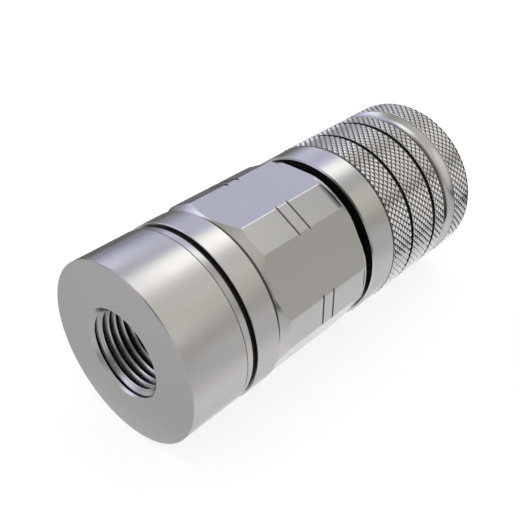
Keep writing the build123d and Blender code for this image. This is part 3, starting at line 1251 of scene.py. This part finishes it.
    def far_steps(
        self, angle: float, flat: float, face: Point, narrow: Point
    ) -> list[tuple[float, float, Point]]:
        """Lay out the far end of one column: the flat's run-out and the turned contour.

        Args:
            angle: The column's angle.
            flat: Radius of the flat there.
            face: The flat's normal.
            narrow: Normal of the narrow flat beside it; only narrow flats run out.

        Returns:
            Place along the axis, radius and normal of each point.
        """
        drop, contour = self.run_out_drop, list(self.far_contour)
        if face != narrow:
            drop = 0.0
            land_radius = contour[self.land_corner][1]
            for i in range(self.land_corner):
                contour[i] = (contour[i][0], max(contour[i][1], land_radius))
        length = self.run_out_end - self.run_out_start
        steps: list[tuple[float, float, Point]] = []
        for i in range(self.run_out_parts + 1):
            share = i / self.run_out_parts
            lean = 2 * drop * share / length
            normal = (Vector(face) + Vector((lean, 0.0, 0.0))).normalized()
            x = self.run_out_start + length * share
            steps.append((x, flat - drop * share**2, tuple(normal)))
        end = flat - drop
        for (x0, r0), (x1, r1) in zip(contour, contour[1:]):
            lean = math.hypot(r0 - r1, x1 - x0)
            normal = round_point((r0 - r1) / lean, (x1 - x0) / lean, angle)
            places = [x0, x1]
            if min(r0, r1) < end < max(r0, r1):
                crossing = x0 + (x1 - x0) * (r0 - end) / (r0 - r1)
                places[0 if r0 > end else 1] = crossing
            elif min(r0, r1) >= end:
                normal = face
            for x in places:
                share = (x - x0) / (x1 - x0)
                steps.append((x, min(r0 + (r1 - r0) * share, end), normal))
        steps.append((self.far_end, min(contour[-1][1], end), (1.0, 0.0, 0.0)))
        return steps

    def build(self, materials: list[bpy.types.Material]) -> bpy.types.Object:
        """Build the body with its flats, notches, grooves and ball holes, and place it.

        Args:
            materials: The finish of the turned outside.

        Returns:
            The body.
        """
        angles = self.columns()
        rise = self.recess_radius - self.near_foot
        foot_end = self.collar_end + rise / self.near_slope
        inside = [
            Corner(self.nose_start, self.mouth_radius),
            Corner(self.chamber_end, self.mouth_radius),
            Corner(self.chamber_end, self.chamber_radius),
            Corner(self.socket_end, self.chamber_radius),
            Corner(self.socket_end, self.socket_radius),
            Corner(self.start + self.socket_chamfer, self.socket_radius),
            Corner(self.start, self.socket_radius + self.socket_chamfer),
            Corner(self.start, self.collar_radius - self.collar_edge, 0.05),
            Corner(self.start + self.collar_edge, self.collar_radius, 0.05),
            Corner(self.collar_end, self.collar_radius, 0.08),
            Corner(self.collar_end, self.near_foot),
            Corner(foot_end, self.recess_radius),
            Corner(self.recess_end, self.recess_radius),
        ]
        neck = [
            Corner(self.far_end, self.near_foot),
            Corner(self.far_end, self.neck_radius),
            Corner(self.nose_start, self.neck_radius),
            Corner(self.nose_start, self.nose_radius),
        ]
        draft = MeshDraft()
        rows = turned_rows(profile_steps(inside, closed=False), angles)
        columns = [self.column(angle) for angle in angles]
        rows += [list(row) for row in zip(*columns)]
        rows += turned_rows(profile_steps(neck, closed=False)[1:], angles)
        draft.grid(rows)
        outside = [
            Corner(self.nose_start, self.nose_radius),
            Corner(self.hole_start, self.nose_radius),
        ]
        mouth = [
            Corner(self.hole_end, self.nose_radius),
            Corner(self.stop_groove[0], self.nose_radius),
            Corner(self.stop_groove[0], self.stop_groove_radius),
            Corner(self.stop_groove[1], self.stop_groove_radius),
            Corner(self.stop_groove[1], self.nose_radius),
            Corner(self.nose_end - self.nose_chamfer, self.nose_radius, 0.05),
            Corner(self.nose_end, self.nose_radius - self.nose_chamfer, 0.05),
            Corner(self.nose_end, self.mouth_radius + self.mouth_lead, 0.05),
            Corner(self.nose_end - self.mouth_lead_length, self.mouth_radius, 0.05),
            Corner(self.hole_end, self.mouth_radius),
        ]
        bore = [
            Corner(self.hole_start, self.mouth_radius),
            Corner(self.seal_groove[1], self.mouth_radius),
            Corner(self.seal_groove[1], self.seal_groove_radius),
            Corner(self.seal_groove[0], self.seal_groove_radius),
            Corner(self.seal_groove[0], self.mouth_radius),
            Corner(self.nose_start, self.mouth_radius),
        ]
        for part in (outside, mouth, bore):
            steps = profile_steps(part, closed=False)
            draft.grid(turned_rows(steps, full_circle(ROUND_COLUMNS)))
        hole = BallHole(outer=self.nose_radius, inner=self.mouth_radius)
        for k in range(hole.count):
            turn = math.radians(self.first_hole + 360 / hole.count * k)
            hole.cut(draft, turn, self.hole_start, self.hole_end)
        piece = draft.build("hexagon_body", materials)
        return fit(piece, Body.COUPLER, "body")


@dataclass(frozen=True)
class LockSleeve:
    """The knurled sleeve that is pulled back to open the coupler.

    Each of its first two knurled bands ends in a smooth strip beside a black groove, and
    the third ends in the concave finger groove. Inside, a land holds the balls down and a
    ramp lets them out.
    """

    start: float = 57.8
    rear_chamfer: float = 0.2
    rear_drop: float = 0.5
    band_end: float = 65.6
    knurl_1: float = 65.85
    strip_1: float = 73.05
    groove_1: float = 73.7
    knurl_2: float = 74.2
    strip_2: float = 82.7
    groove_2: float = 83.35
    knurl_3: float = 83.85
    finger_start: float = 87.75
    finger_end: float = 93.2
    finger_parts: int = 12
    end: float = 99.8
    radius: float = 21.2
    tip: float = 21.45
    bed: float = 21.15
    groove_bottom: float = 19.75
    strip_drop: float = 0.18
    scribe_bottom: float = 20.9
    finger_depth: float = 1.1
    lip_step: float = 0.16
    lip_steps: int = 3
    knurl_rise: float = 0.03
    strip_lead: float = 0.1
    strip_blend: float = 0.25
    rim_lead: float = 0.45
    bore: float = 18.7
    bore_chamfer: float = 0.4
    land: float = 16.1
    land_start: float = 83.8
    land_end: float = 90.2
    ramp_end: float = 92.956
    relief: float = 17.16
    stop_wall: float = 96.2
    mouth_bore: float = 17.9
    mouth_chamfer: float = 0.35

    def finger_middle(self) -> float:
        """Return the place of the finger groove's middle along the axis."""
        return (self.finger_start + self.finger_end) / 2

    def finger_arc(self) -> float:
        """Return the radius of the arc that hollows the finger groove."""
        half = (self.finger_end - self.finger_start) / 2
        return (half**2 + self.finger_depth**2) / (2 * self.finger_depth)

    def finger_radius(self, x: float) -> float:
        """Find how far from the axis the finger groove's floor is.

        Args:
            x: The place along the axis.

        Returns:
            The floor's radius there.
        """
        arc = self.finger_arc()
        offset = x - self.finger_middle()
        return self.tip - self.finger_depth + arc - math.sqrt(arc**2 - offset**2)

    def outline(self, root: float) -> list[Corner]:
        """Lay out the closed half profile, with the bands cut back to take the knurl.

        Args:
            root: The radius of the knurl's roots.

        Returns:
            The profile's corners in order.
        """
        middle = self.finger_middle()
        reach = self.root_reach(root)
        parts = self.finger_parts
        places = [middle + reach * i / parts for i in range(-parts, parts + 1)]
        groove = [Corner(x, self.finger_radius(x)) for x in places]
        return [
            Corner(self.start + self.rear_chamfer, self.radius, 0.05),
            Corner(self.band_end, self.radius, 0.05),
            Corner(self.band_end, self.scribe_bottom),
            Corner(self.knurl_1, self.scribe_bottom),
            Corner(self.knurl_1, self.bed),
            Corner(self.strip_1, self.bed),
            Corner(self.strip_1, self.radius),
            Corner(self.groove_1, self.radius - self.strip_drop, 0.06),
            Corner(self.groove_1, self.groove_bottom),
            Corner(self.knurl_2, self.groove_bottom),
            Corner(self.knurl_2, self.bed),
            Corner(self.strip_2, self.bed),
            Corner(self.strip_2, self.radius),
            Corner(self.groove_2, self.radius - self.strip_drop, 0.06),
            Corner(self.groove_2, self.groove_bottom),
            Corner(self.knurl_3, self.groove_bottom),
            Corner(self.knurl_3, self.bed),
            Corner(groove[0].x, self.bed),
            *groove,
            Corner(groove[-1].x, self.bed),
            Corner(self.end, self.bed),
            Corner(self.end, self.mouth_bore + self.mouth_chamfer, 0.05),
            Corner(self.end - self.mouth_chamfer, self.mouth_bore, 0.05),
            Corner(self.stop_wall, self.mouth_bore),
            Corner(self.stop_wall, self.relief),
            Corner(self.ramp_end, self.relief, 0.05),
            Corner(self.land_end, self.land, 0.05),
            Corner(self.land_start, self.land),
            Corner(self.land_start, self.bore),
            Corner(self.start + self.bore_chamfer, self.bore, 0.05),
            Corner(self.start, self.bore + self.bore_chamfer, 0.05),
            Corner(self.start, self.radius - self.rear_drop, 0.05),
        ]

    def root_reach(self, root: float) -> float:
        """Work out how far from its middle the finger groove rises to the knurl's roots.

        Args:
            root: The radius of the roots.

        Returns:
            The distance along the axis.
        """
        arc = self.finger_arc()
        rise = arc - (root - self.tip + self.finger_depth)
        return math.sqrt(arc**2 - rise**2)

    def build(self, materials: list[bpy.types.Material]) -> bpy.types.Object:
        """Build the sleeve with its four knurled bands, dress it and place it.

        Args:
            materials: The finishes of the smooth outside and of the knurl.

        Returns:
            The sleeve.
        """
        knurl = DiamondKnurl()
        middle = self.finger_middle()
        reach = self.root_reach(knurl.root)
        lip = [self.finger_start + self.lip_step * (i + 1) for i in range(self.lip_steps)]
        into_groove = [(x, self.finger_radius(x)) for x in lip]
        out_of_groove = [(2 * middle - x, r) for x, r in reversed(into_groove)]
        flat = [(self.start, knurl.root), (self.end, knurl.root)]
        draft = MeshDraft()
        draft.grid(
            turned_rows(
                profile_steps(self.outline(knurl.root)), full_circle(ROUND_COLUMNS)
            ),
            wrap_rows=True,
        )
        for start, end in ((self.knurl_1, self.strip_1), (self.knurl_2, self.strip_2)):
            top = [
                (start, knurl.root),
                (start + self.knurl_rise, self.tip),
                (end - self.strip_lead, self.tip),
                (end, self.radius),
            ]
            floor = [(end - self.strip_blend, knurl.root), (end, self.radius)]
            knurl.cut(draft, top, floor, 1)
        top = [
            (self.knurl_3, knurl.root),
            (self.knurl_3 + self.knurl_rise, self.tip),
            (self.finger_start, self.tip),
            *into_groove,
            (middle - reach, knurl.root),
        ]
        knurl.cut(draft, top, flat, 1)
        top = [
            (middle + reach, knurl.root),
            *out_of_groove,
            (self.finger_end, self.tip),
            (self.end - self.rim_lead, self.tip),
            (self.end, knurl.root),
        ]
        knurl.cut(draft, top, flat, 1)
        piece = draft.build("knurled_lock_sleeve", materials)
        return fit(piece, Body.SLEEVE, "lock_sleeve")


def fit(
    piece: bpy.types.Object, body: Body, node: str
) -> bpy.types.Object:
    """Let a piece ride on a body and stand for a CAD node, which is hidden.

    Args:
        piece: The piece.
        body: The body that carries it.
        node: The node that it replaces.

    Returns:
        The same piece.
    """
    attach(piece, body.value)
    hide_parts(node)
    return piece


@dataclass(frozen=True)
class InnerPieces:
    """The CAD solids whose shape is right, which stay and get their real finishes."""

    def dress(
        self,
        nodes: dict[str, bpy.types.Object],
        record: dict[str, Any],
        finishes: dict[str, bpy.types.Material],
    ) -> list[str]:
        """Put each solid's finish in its material slots.

        Args:
            nodes: The frame's CAD nodes by name.
            record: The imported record, which names each node's material slot.
            finishes: Materials by slot name.

        Returns:
            The names of the dressed solids.
        """
        dressed: list[str] = []
        for subpart in record["subparts"]:
            mesh = nodes[subpart["node"]].data
            mesh.materials.clear()
            mesh.materials.append(finishes[subpart["material_slot"]])
            dressed.append(subpart["node"])
        return dressed

    def compress(self, nodes: dict[str, bpy.types.Object]) -> None:
        """Give both coil springs a copy of their mesh of their own.

        The sleeve's spring is 20.55 mm long at rest and gives 2.6 mm; the valve's is 20 mm
        long and gives 9 mm.

        Args:
            nodes: The frame's CAD nodes by name.
        """
        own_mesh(nodes["sleeve_spring"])
        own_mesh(nodes["valve_spring"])


@dataclass(frozen=True)
class SoftSpot:
    """A round soft light in the sky.

    It has its direction, the half angles in degrees where it starts to fade and where it
    ends, and its level.
    """

    towards: Point
    inner: float
    outer: float
    level: float


@dataclass(frozen=True)
class Flag:
    """A grey sheet on the floor that only the metal mirrors, a painted reflection: its
    name, its corners in metres and its colour.
    """

    name: str
    corners: tuple[tuple[float, float], ...]
    colour: str


@dataclass(frozen=True)
class Studio:
    """The floor, the light and the camera.

    The sky is one soft light tent: a bright strip runs overhead along the coupler, and the
    walls fall off to grey. Of its three skies, the one above follows the one towards the
    port over the first range in sky_mixes, and the one towards the mouth follows over the
    second. end_falls says for both ends where the tent is dark, where it is light again,
    and what part of the light the dark keeps. These ranges are in X of the direction that
    is looked in. Places are in metres.
    """

    camera_place: Point = (-0.0699, -0.10182, 0.10743)
    camera_forward: Point = (0.6058, 0.55226, -0.57273)
    camera_right: Point = (0.67391, -0.73881, 0.00055)
    focal_length: float = 54.66
    sensor_width: float = 36.0
    clip_range: tuple[float, float] = (0.005, 50.0)
    sky_peak: float = 2.9
    sky_mixes: tuple[tuple[float, float], ...] = ((0.36, 0.54), (0.58, 0.71))
    end_falls: tuple[Point, ...] = ((0.98, 0.72, 0.12), (-0.97, -0.9, 0.15))
    spots: tuple[SoftSpot, ...] = (SoftSpot((0.06, -0.87, 0.48), 20.0, 31.0, 0.9),)
    lamp_place: Point = (0.05, -0.1, 1.0)
    lamp_side: float = 1.2
    lamp_energy: float = 2.0
    floor_reach: float = 4.0
    floor_colour: str = "#747474"
    floor_glow: float = 0.82
    floor_patch: float = 0.58
    patch_edges: tuple[tuple[str, float, float], ...] = (
        ("X", -0.01, 0.012),
        ("Y", -0.075, -0.018),
    )
    flag_lift: float = 0.0005
    # Painted reflections: grey sheets that only the metal mirrors, behind, at the mouth and
    # in front
    flags: tuple[Flag, ...] = (
        Flag(
            "studio_flag_behind",
            ((0.03, 0.035), (1.4, 0.035), (1.4, 1.4), (0.03, 1.4)),
            "#868686",
        ),
        Flag(
            "studio_flag_at_mouth",
            ((0.115, -0.045), (0.17, -0.085), (1.4, -0.7), (1.4, 0.03), (0.115, 0.03)),
            "#1E1E1E",
        ),
        Flag(
            "studio_flag_in_front",
            ((-0.5, -0.13), (0.05, -0.13), (0.135, -0.3), (0.68, -1.4), (-0.5, -1.4)),
            "#606060",
        ),
    )

    def sky_levels(self) -> list[SkyLevels]:
        """Lay out the three skies, by the light from each angle about the coupler's axis.

        Returns:
            The skies towards the port, above and towards the mouth, in this order, each
            with the angle in degrees, the level and the tint of its stops.
        """
        grey, cool, warm = "#FFFFFF", "#E4E8FF", "#FFFCF6"
        mouth_side = [
            (-180, 0.95, grey),
            (-90, 1.00, grey),
            (-76, 0.84, warm),
            (-66, 0.96, warm),
            (-56, 1.13, warm),
            (-46, 1.24, warm),
            (-36, 1.30, warm),
            (-26, 1.18, warm),
            (-16, 0.97, grey),
            (-8, 1.00, grey),
            (0, 1.45, grey),
            (8, 2.40, grey),
            (14, 2.70, grey),
            (22, 2.70, grey),
            (30, 1.90, cool),
            (38, 1.55, cool),
            (48, 1.52, cool),
            (58, 1.75, cool),
            (68, 2.05, cool),
            (76, 1.85, cool),
            (84, 1.10, cool),
            (96, 0.72, grey),
            (110, 0.32, grey),
            (180, 0.90, grey),
        ]
        above = [
            (-180, 0.95, grey),
            (-96, 1.05, grey),
            (-90, 1.02, warm),
            (-82, 0.90, warm),
            (-76, 0.82, warm),
            (-66, 0.86, warm),
            (-56, 1.00, warm),
            (-46, 1.16, warm),
            (-36, 1.32, warm),
            (-16, 1.30, grey),
            (-8, 1.55, grey),
            (0, 2.25, grey),
            (6, 2.90, grey),
            (18, 2.90, grey),
            (25, 2.30, grey),
            (32, 1.50, cool),
            (39, 1.46, cool),
            (46, 1.50, cool),
            (62, 1.50, cool),
            (72, 1.24, cool),
            (80, 0.90, cool),
            (90, 0.60, grey),
            (110, 0.35, grey),
            (180, 0.90, grey),
        ]
        port_side = [
            (-180, 0.90, grey),
            (-100, 0.60, grey),
            (-80, 0.55, grey),
            (-62, 0.72, warm),
            (-46, 0.94, warm),
            (-25, 1.12, warm),
            (-5, 1.16, warm),
            (13, 0.96, grey),
            (30, 0.66, grey),
            (40, 0.90, grey),
            (46, 1.80, grey),
            (51, 2.90, cool),
            (60, 2.50, cool),
            (70, 1.90, cool),
            (80, 1.00, cool),
            (90, 0.60, grey),
            (110, 0.35, grey),
            (180, 0.90, grey),
        ]
        return [port_side, above, mouth_side]

    def ramp(
        self, tree: bpy.types.NodeTree, share: bpy.types.NodeSocket, levels: SkyLevels
    ) -> bpy.types.NodeSocket:
        """Add a colour ramp with one sky's levels, as parts of the highest one.

        Args:
            tree: The world's node tree.
            share: The angle about the axis, from 0 to 1.
            levels: Angle, level and tint of each stop.

        Returns:
            The ramp's colour.
        """
        tent = add_node(tree, "ShaderNodeValToRGB", {0: share})
        stops = tent.color_ramp.elements
        while len(stops) < len(levels):
            stops.new(0.5)
        for stop, (degrees, level, tint) in zip(stops, levels):
            stop.position = (degrees + 180) / 360
            stop.color = [level / self.sky_peak * c for c in linear(tint)[:3]] + [1]
        return tent.outputs["Color"]

    def spot(
        self, tree: bpy.types.NodeTree, place: bpy.types.NodeSocket, spot: SoftSpot
    ) -> bpy.types.NodeSocket:
        """Add a round soft light to the sky.

        Args:
            tree: The world's node tree.
            place: The direction that is looked in.
            spot: Where the light is, how wide and how strong.

        Returns:
            The light's shader.
        """
        towards = add_node(
            tree,
            "ShaderNodeVectorMath",
            {0: place, 1: Vector(spot.towards).normalized()},
            operation="DOT_PRODUCT",
        )
        strength = add_node(
            tree,
            "ShaderNodeMapRange",
            {
                "Value": towards.outputs["Value"],
                "From Min": math.cos(math.radians(spot.outer)),
                "From Max": math.cos(math.radians(spot.inner)),
                "To Min": 0.0,
                "To Max": spot.level,
            },
            interpolation_type="SMOOTHSTEP",
        )
        glow = add_node(
            tree, "ShaderNodeBackground", {"Strength": strength.outputs["Result"]}
        )
        return glow.outputs[0]

    def tent(
        self,
        tree: bpy.types.NodeTree,
        along: bpy.types.NodeSocket,
        share: bpy.types.NodeSocket,
    ) -> bpy.types.NodeSocket:
        """Mix the three skies from the port's side to the mouth's.

        Args:
            tree: The world's node tree.
            along: X of the direction that is looked in.
            share: The angle about the axis, from 0 to 1.

        Returns:
            The tent's colour.
        """
        tent, *others = (self.ramp(tree, share, levels) for levels in self.sky_levels())
        for other, (low, high) in zip(others, self.sky_mixes):
            side = add_node(
                tree,
                "ShaderNodeMapRange",
                {"Value": along, "From Min": low, "From Max": high},
                interpolation_type="SMOOTHSTEP",
            )
            mixed = add_node(
                tree,
                "ShaderNodeMix",
                {0: side.outputs["Result"], 6: tent, 7: other},
                data_type="RGBA",
            )
            tent = mixed.outputs[2]
        return tent

    def strength(
        self, tree: bpy.types.NodeTree, along: bpy.types.NodeSocket
    ) -> bpy.types.NodeSocket:
        """Work out the tent's strength, which falls off at both ends.

        Args:
            tree: The world's node tree.
            along: X of the direction that is looked in.

        Returns:
            The strength.
        """
        mouth_end, port_end = (
            add_node(
                tree,
                "ShaderNodeMapRange",
                {
                    "Value": along,
                    "From Min": dark,
                    "From Max": bright,
                    "To Min": least,
                    "To Max": 1.0,
                },
                interpolation_type="SMOOTHSTEP",
            ).outputs["Result"]
            for dark, bright, least in self.end_falls
        )
        ends = add_node(
            tree, "ShaderNodeMath", {0: mouth_end, 1: port_end}, operation="MULTIPLY"
        )
        strength = add_node(
            tree,
            "ShaderNodeMath",
            {0: ends.outputs[0], 1: self.sky_peak},
            operation="MULTIPLY",
        )
        return strength.outputs[0]

    def light(self) -> None:
        """Fill the world with the light tent and its soft lights."""
        world = bpy.data.worlds.new("light_tent")
        world.use_nodes = True
        bpy.context.scene.world = world
        tree = world.node_tree
        background = tree.nodes["Background"]
        place = add_node(tree, "ShaderNodeTexCoord").outputs["Generated"]
        parts = add_node(tree, "ShaderNodeSeparateXYZ", {0: place})
        angle = add_node(
            tree,
            "ShaderNodeMath",
            {0: parts.outputs["Y"], 1: parts.outputs["Z"]},
            operation="ARCTAN2",
        )
        share = add_node(
            tree,
            "ShaderNodeMapRange",
            {"Value": angle.outputs[0], "From Min": -math.pi, "From Max": math.pi},
        )
        tent = self.tent(tree, parts.outputs["X"], share.outputs["Result"])
        tree.links.new(tent, background.inputs["Color"])
        strength = self.strength(tree, parts.outputs["X"])
        tree.links.new(strength, background.inputs["Strength"])
        light = background.outputs[0]
        for soft_spot in self.spots:
            both = add_node(
                tree,
                "ShaderNodeAddShader",
                {0: light, 1: self.spot(tree, place, soft_spot)},
            )
            light = both.outputs[0]
        tree.links.new(light, tree.nodes["World Output"].inputs["Surface"])

    def floor(self, height: float) -> None:
        """Lay the pale floor under the coupler.

        Args:
            height: The floor's height in metres.
        """
        far = self.floor_reach
        corners = ((-far, -far), (far, -far), (far, far), (-far, far))
        material = MattSheet("studio_paper_matt", self.floor_colour).material()
        self.glow(material.node_tree)
        floor = self.sheet("studio_floor", corners, height, material)
        floor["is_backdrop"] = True

    def sheet(
        self,
        name: str,
        corners: tuple[tuple[float, float], ...],
        height: float,
        material: bpy.types.Material,
    ) -> bpy.types.Object:
        """Lay out one flat sheet.

        Args:
            name: The sheet's name.
            corners: Its corners in X and Y.
            height: How high it lies.
            material: Its finish.

        Returns:
            The sheet, linked to the scene.
        """
        mesh = bpy.data.meshes.new(name)
        points = [(x, y, height) for x, y in corners]
        mesh.from_pydata(points, [], [tuple(range(len(points)))])
        mesh.materials.append(material)
        sheet = bpy.data.objects.new(name, mesh)
        bpy.context.scene.collection.objects.link(sheet)
        return sheet

    def glow(self, tree: bpy.types.NodeTree) -> None:
        """Let the floor glow for the camera and in the metal.

        It glows by floor_glow where the camera sees it, and where metal mirrors it, there
        by floor_patch more below and behind the coupler. It sends no light of its own to
        dull surfaces and keeps the coupler's shadow.

        Args:
            tree: The floor's node tree.
        """
        shader = tree.nodes["Principled BSDF"]
        path = add_node(tree, "ShaderNodeLightPath")
        place = add_node(tree, "ShaderNodeTexCoord").outputs["Object"]
        parts = add_node(tree, "ShaderNodeSeparateXYZ", {0: place})
        along, aside = (
            add_node(
                tree,
                "ShaderNodeMapRange",
                {"Value": parts.outputs[axis], "From Min": low, "From Max": high},
                interpolation_type="SMOOTHSTEP",
            ).outputs["Result"]
            for axis, low, high in self.patch_edges
        )
        near = add_node(
            tree, "ShaderNodeMath", {0: along, 1: aside}, operation="MULTIPLY"
        )
        patch = add_node(
            tree,
            "ShaderNodeMath",
            {0: near.outputs[0], 1: self.floor_patch, 2: self.floor_glow},
            operation="MULTIPLY_ADD",
        )
        direct = add_node(
            tree,
            "ShaderNodeMath",
            {
                0: path.outputs["Is Camera Ray"],
                1: path.outputs["Is Transmission Ray"],
            },
            operation="MAXIMUM",
        )
        seen, mirrored = (
            add_node(
                tree, "ShaderNodeMath", {0: ray, 1: level}, operation="MULTIPLY"
            ).outputs[0]
            for ray, level in (
                (direct.outputs[0], self.floor_glow),
                (path.outputs["Is Glossy Ray"], patch.outputs[0]),
            )
        )
        glow = add_node(
            tree, "ShaderNodeMath", {0: seen, 1: mirrored}, operation="MAXIMUM"
        )
        shader.inputs["Emission Color"].default_value = (1.0, 1.0, 1.0, 1.0)
        tree.links.new(glow.outputs[0], shader.inputs["Emission Strength"])

    def flag(self, height: float, reflection_sheet: Flag) -> None:
        """Lay a grey sheet on the floor as a painted reflection, seen only in the coupler's
        reflections.

        Args:
            height: The floor's height in metres.
            reflection_sheet: The sheet's name, corners and colour.
        """
        material = MattSheet(reflection_sheet.name + "_reflection_only", reflection_sheet.colour).material()
        flag = self.sheet(reflection_sheet.name, reflection_sheet.corners, height + self.flag_lift, material)
        # Painted reflection: the camera, dull surfaces and shadows do not see the sheet
        flag.visible_camera = False
        flag.visible_diffuse = False
        flag.visible_shadow = False
        flag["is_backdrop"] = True

    def key_light(self) -> None:
        """Hang a wide soft lamp overhead, which lifts the floor to white."""
        lamp = bpy.data.lights.new("overhead_softbox", "AREA")
        lamp.shape = "RECTANGLE"
        lamp.size = self.lamp_side
        lamp.size_y = self.lamp_side
        lamp.energy = self.lamp_energy
        holder = bpy.data.objects.new("overhead_softbox", lamp)
        holder.location = self.lamp_place
        holder.visible_glossy = False
        bpy.context.scene.collection.objects.link(holder)

    def camera(self) -> None:
        """Place the camera where the photograph was taken from."""
        forward = Vector(self.camera_forward).normalized()
        right = Vector(self.camera_right).normalized()
        up = right.cross(forward)
        data = bpy.data.cameras.new("product_camera")
        data.lens = self.focal_length
        data.sensor_width = self.sensor_width
        data.clip_start, data.clip_end = self.clip_range
        turn = Matrix((right, up, -forward)).transposed().to_4x4()
        camera = bpy.data.objects.new("product_camera", data)
        camera.matrix_world = Matrix.Translation(self.camera_place) @ turn
        bpy.context.scene.collection.objects.link(camera)
        bpy.context.scene.camera = camera

    def build(self, height: float) -> None:
        """Set up the camera, the light, the floor, and the grey sheets on it that paint
        reflections.

        Args:
            height: The floor's height in metres.
        """
        self.camera()
        self.light()
        self.key_light()
        self.floor(height)
        for reflection_sheet in self.flags:
            self.flag(height, reflection_sheet)
        bpy.context.scene.view_settings.view_transform = "Standard"


def main() -> None:
    """Build the coupler's pieces around the frame, sub-assembly by sub-assembly."""
    logging.basicConfig(level=logging.INFO, format="%(message)s")
    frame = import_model()
    cad_box = [list(corner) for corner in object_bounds()]
    plating = SATIN_PLATING.material()
    finishes = {
        Slot.PLATED.value: plating,
        Slot.INNER.value: INNER_STEEL.material(),
        Slot.BALL.value: BALL_STEEL.material(),
        Slot.SPRING.value: SPRING_WIRE.material(),
        Slot.RUBBER.value: SEAL_RUBBER.material(),
        Slot.POLYMER.value: RING_POLYMER.material(),
    }
    inner = InnerPieces()
    for name in inner.dress(frame["nodes"], frame["record"], finishes):
        LOG.info("%s: dressed", name)
    inner.compress(frame["nodes"])
    for piece in (
        PortAdapter().build([plating, TAPPED_PLATING.material()]),
        CouplerBody().build([plating]),
        LockSleeve().build([plating, KNURLED_PLATING.material()]),
    ):
        LOG.info("%s: %d faces", piece.name, len(piece.data.polygons))
    Studio().build(cad_box[0][2])


if __name__ == "__main__":
    main()
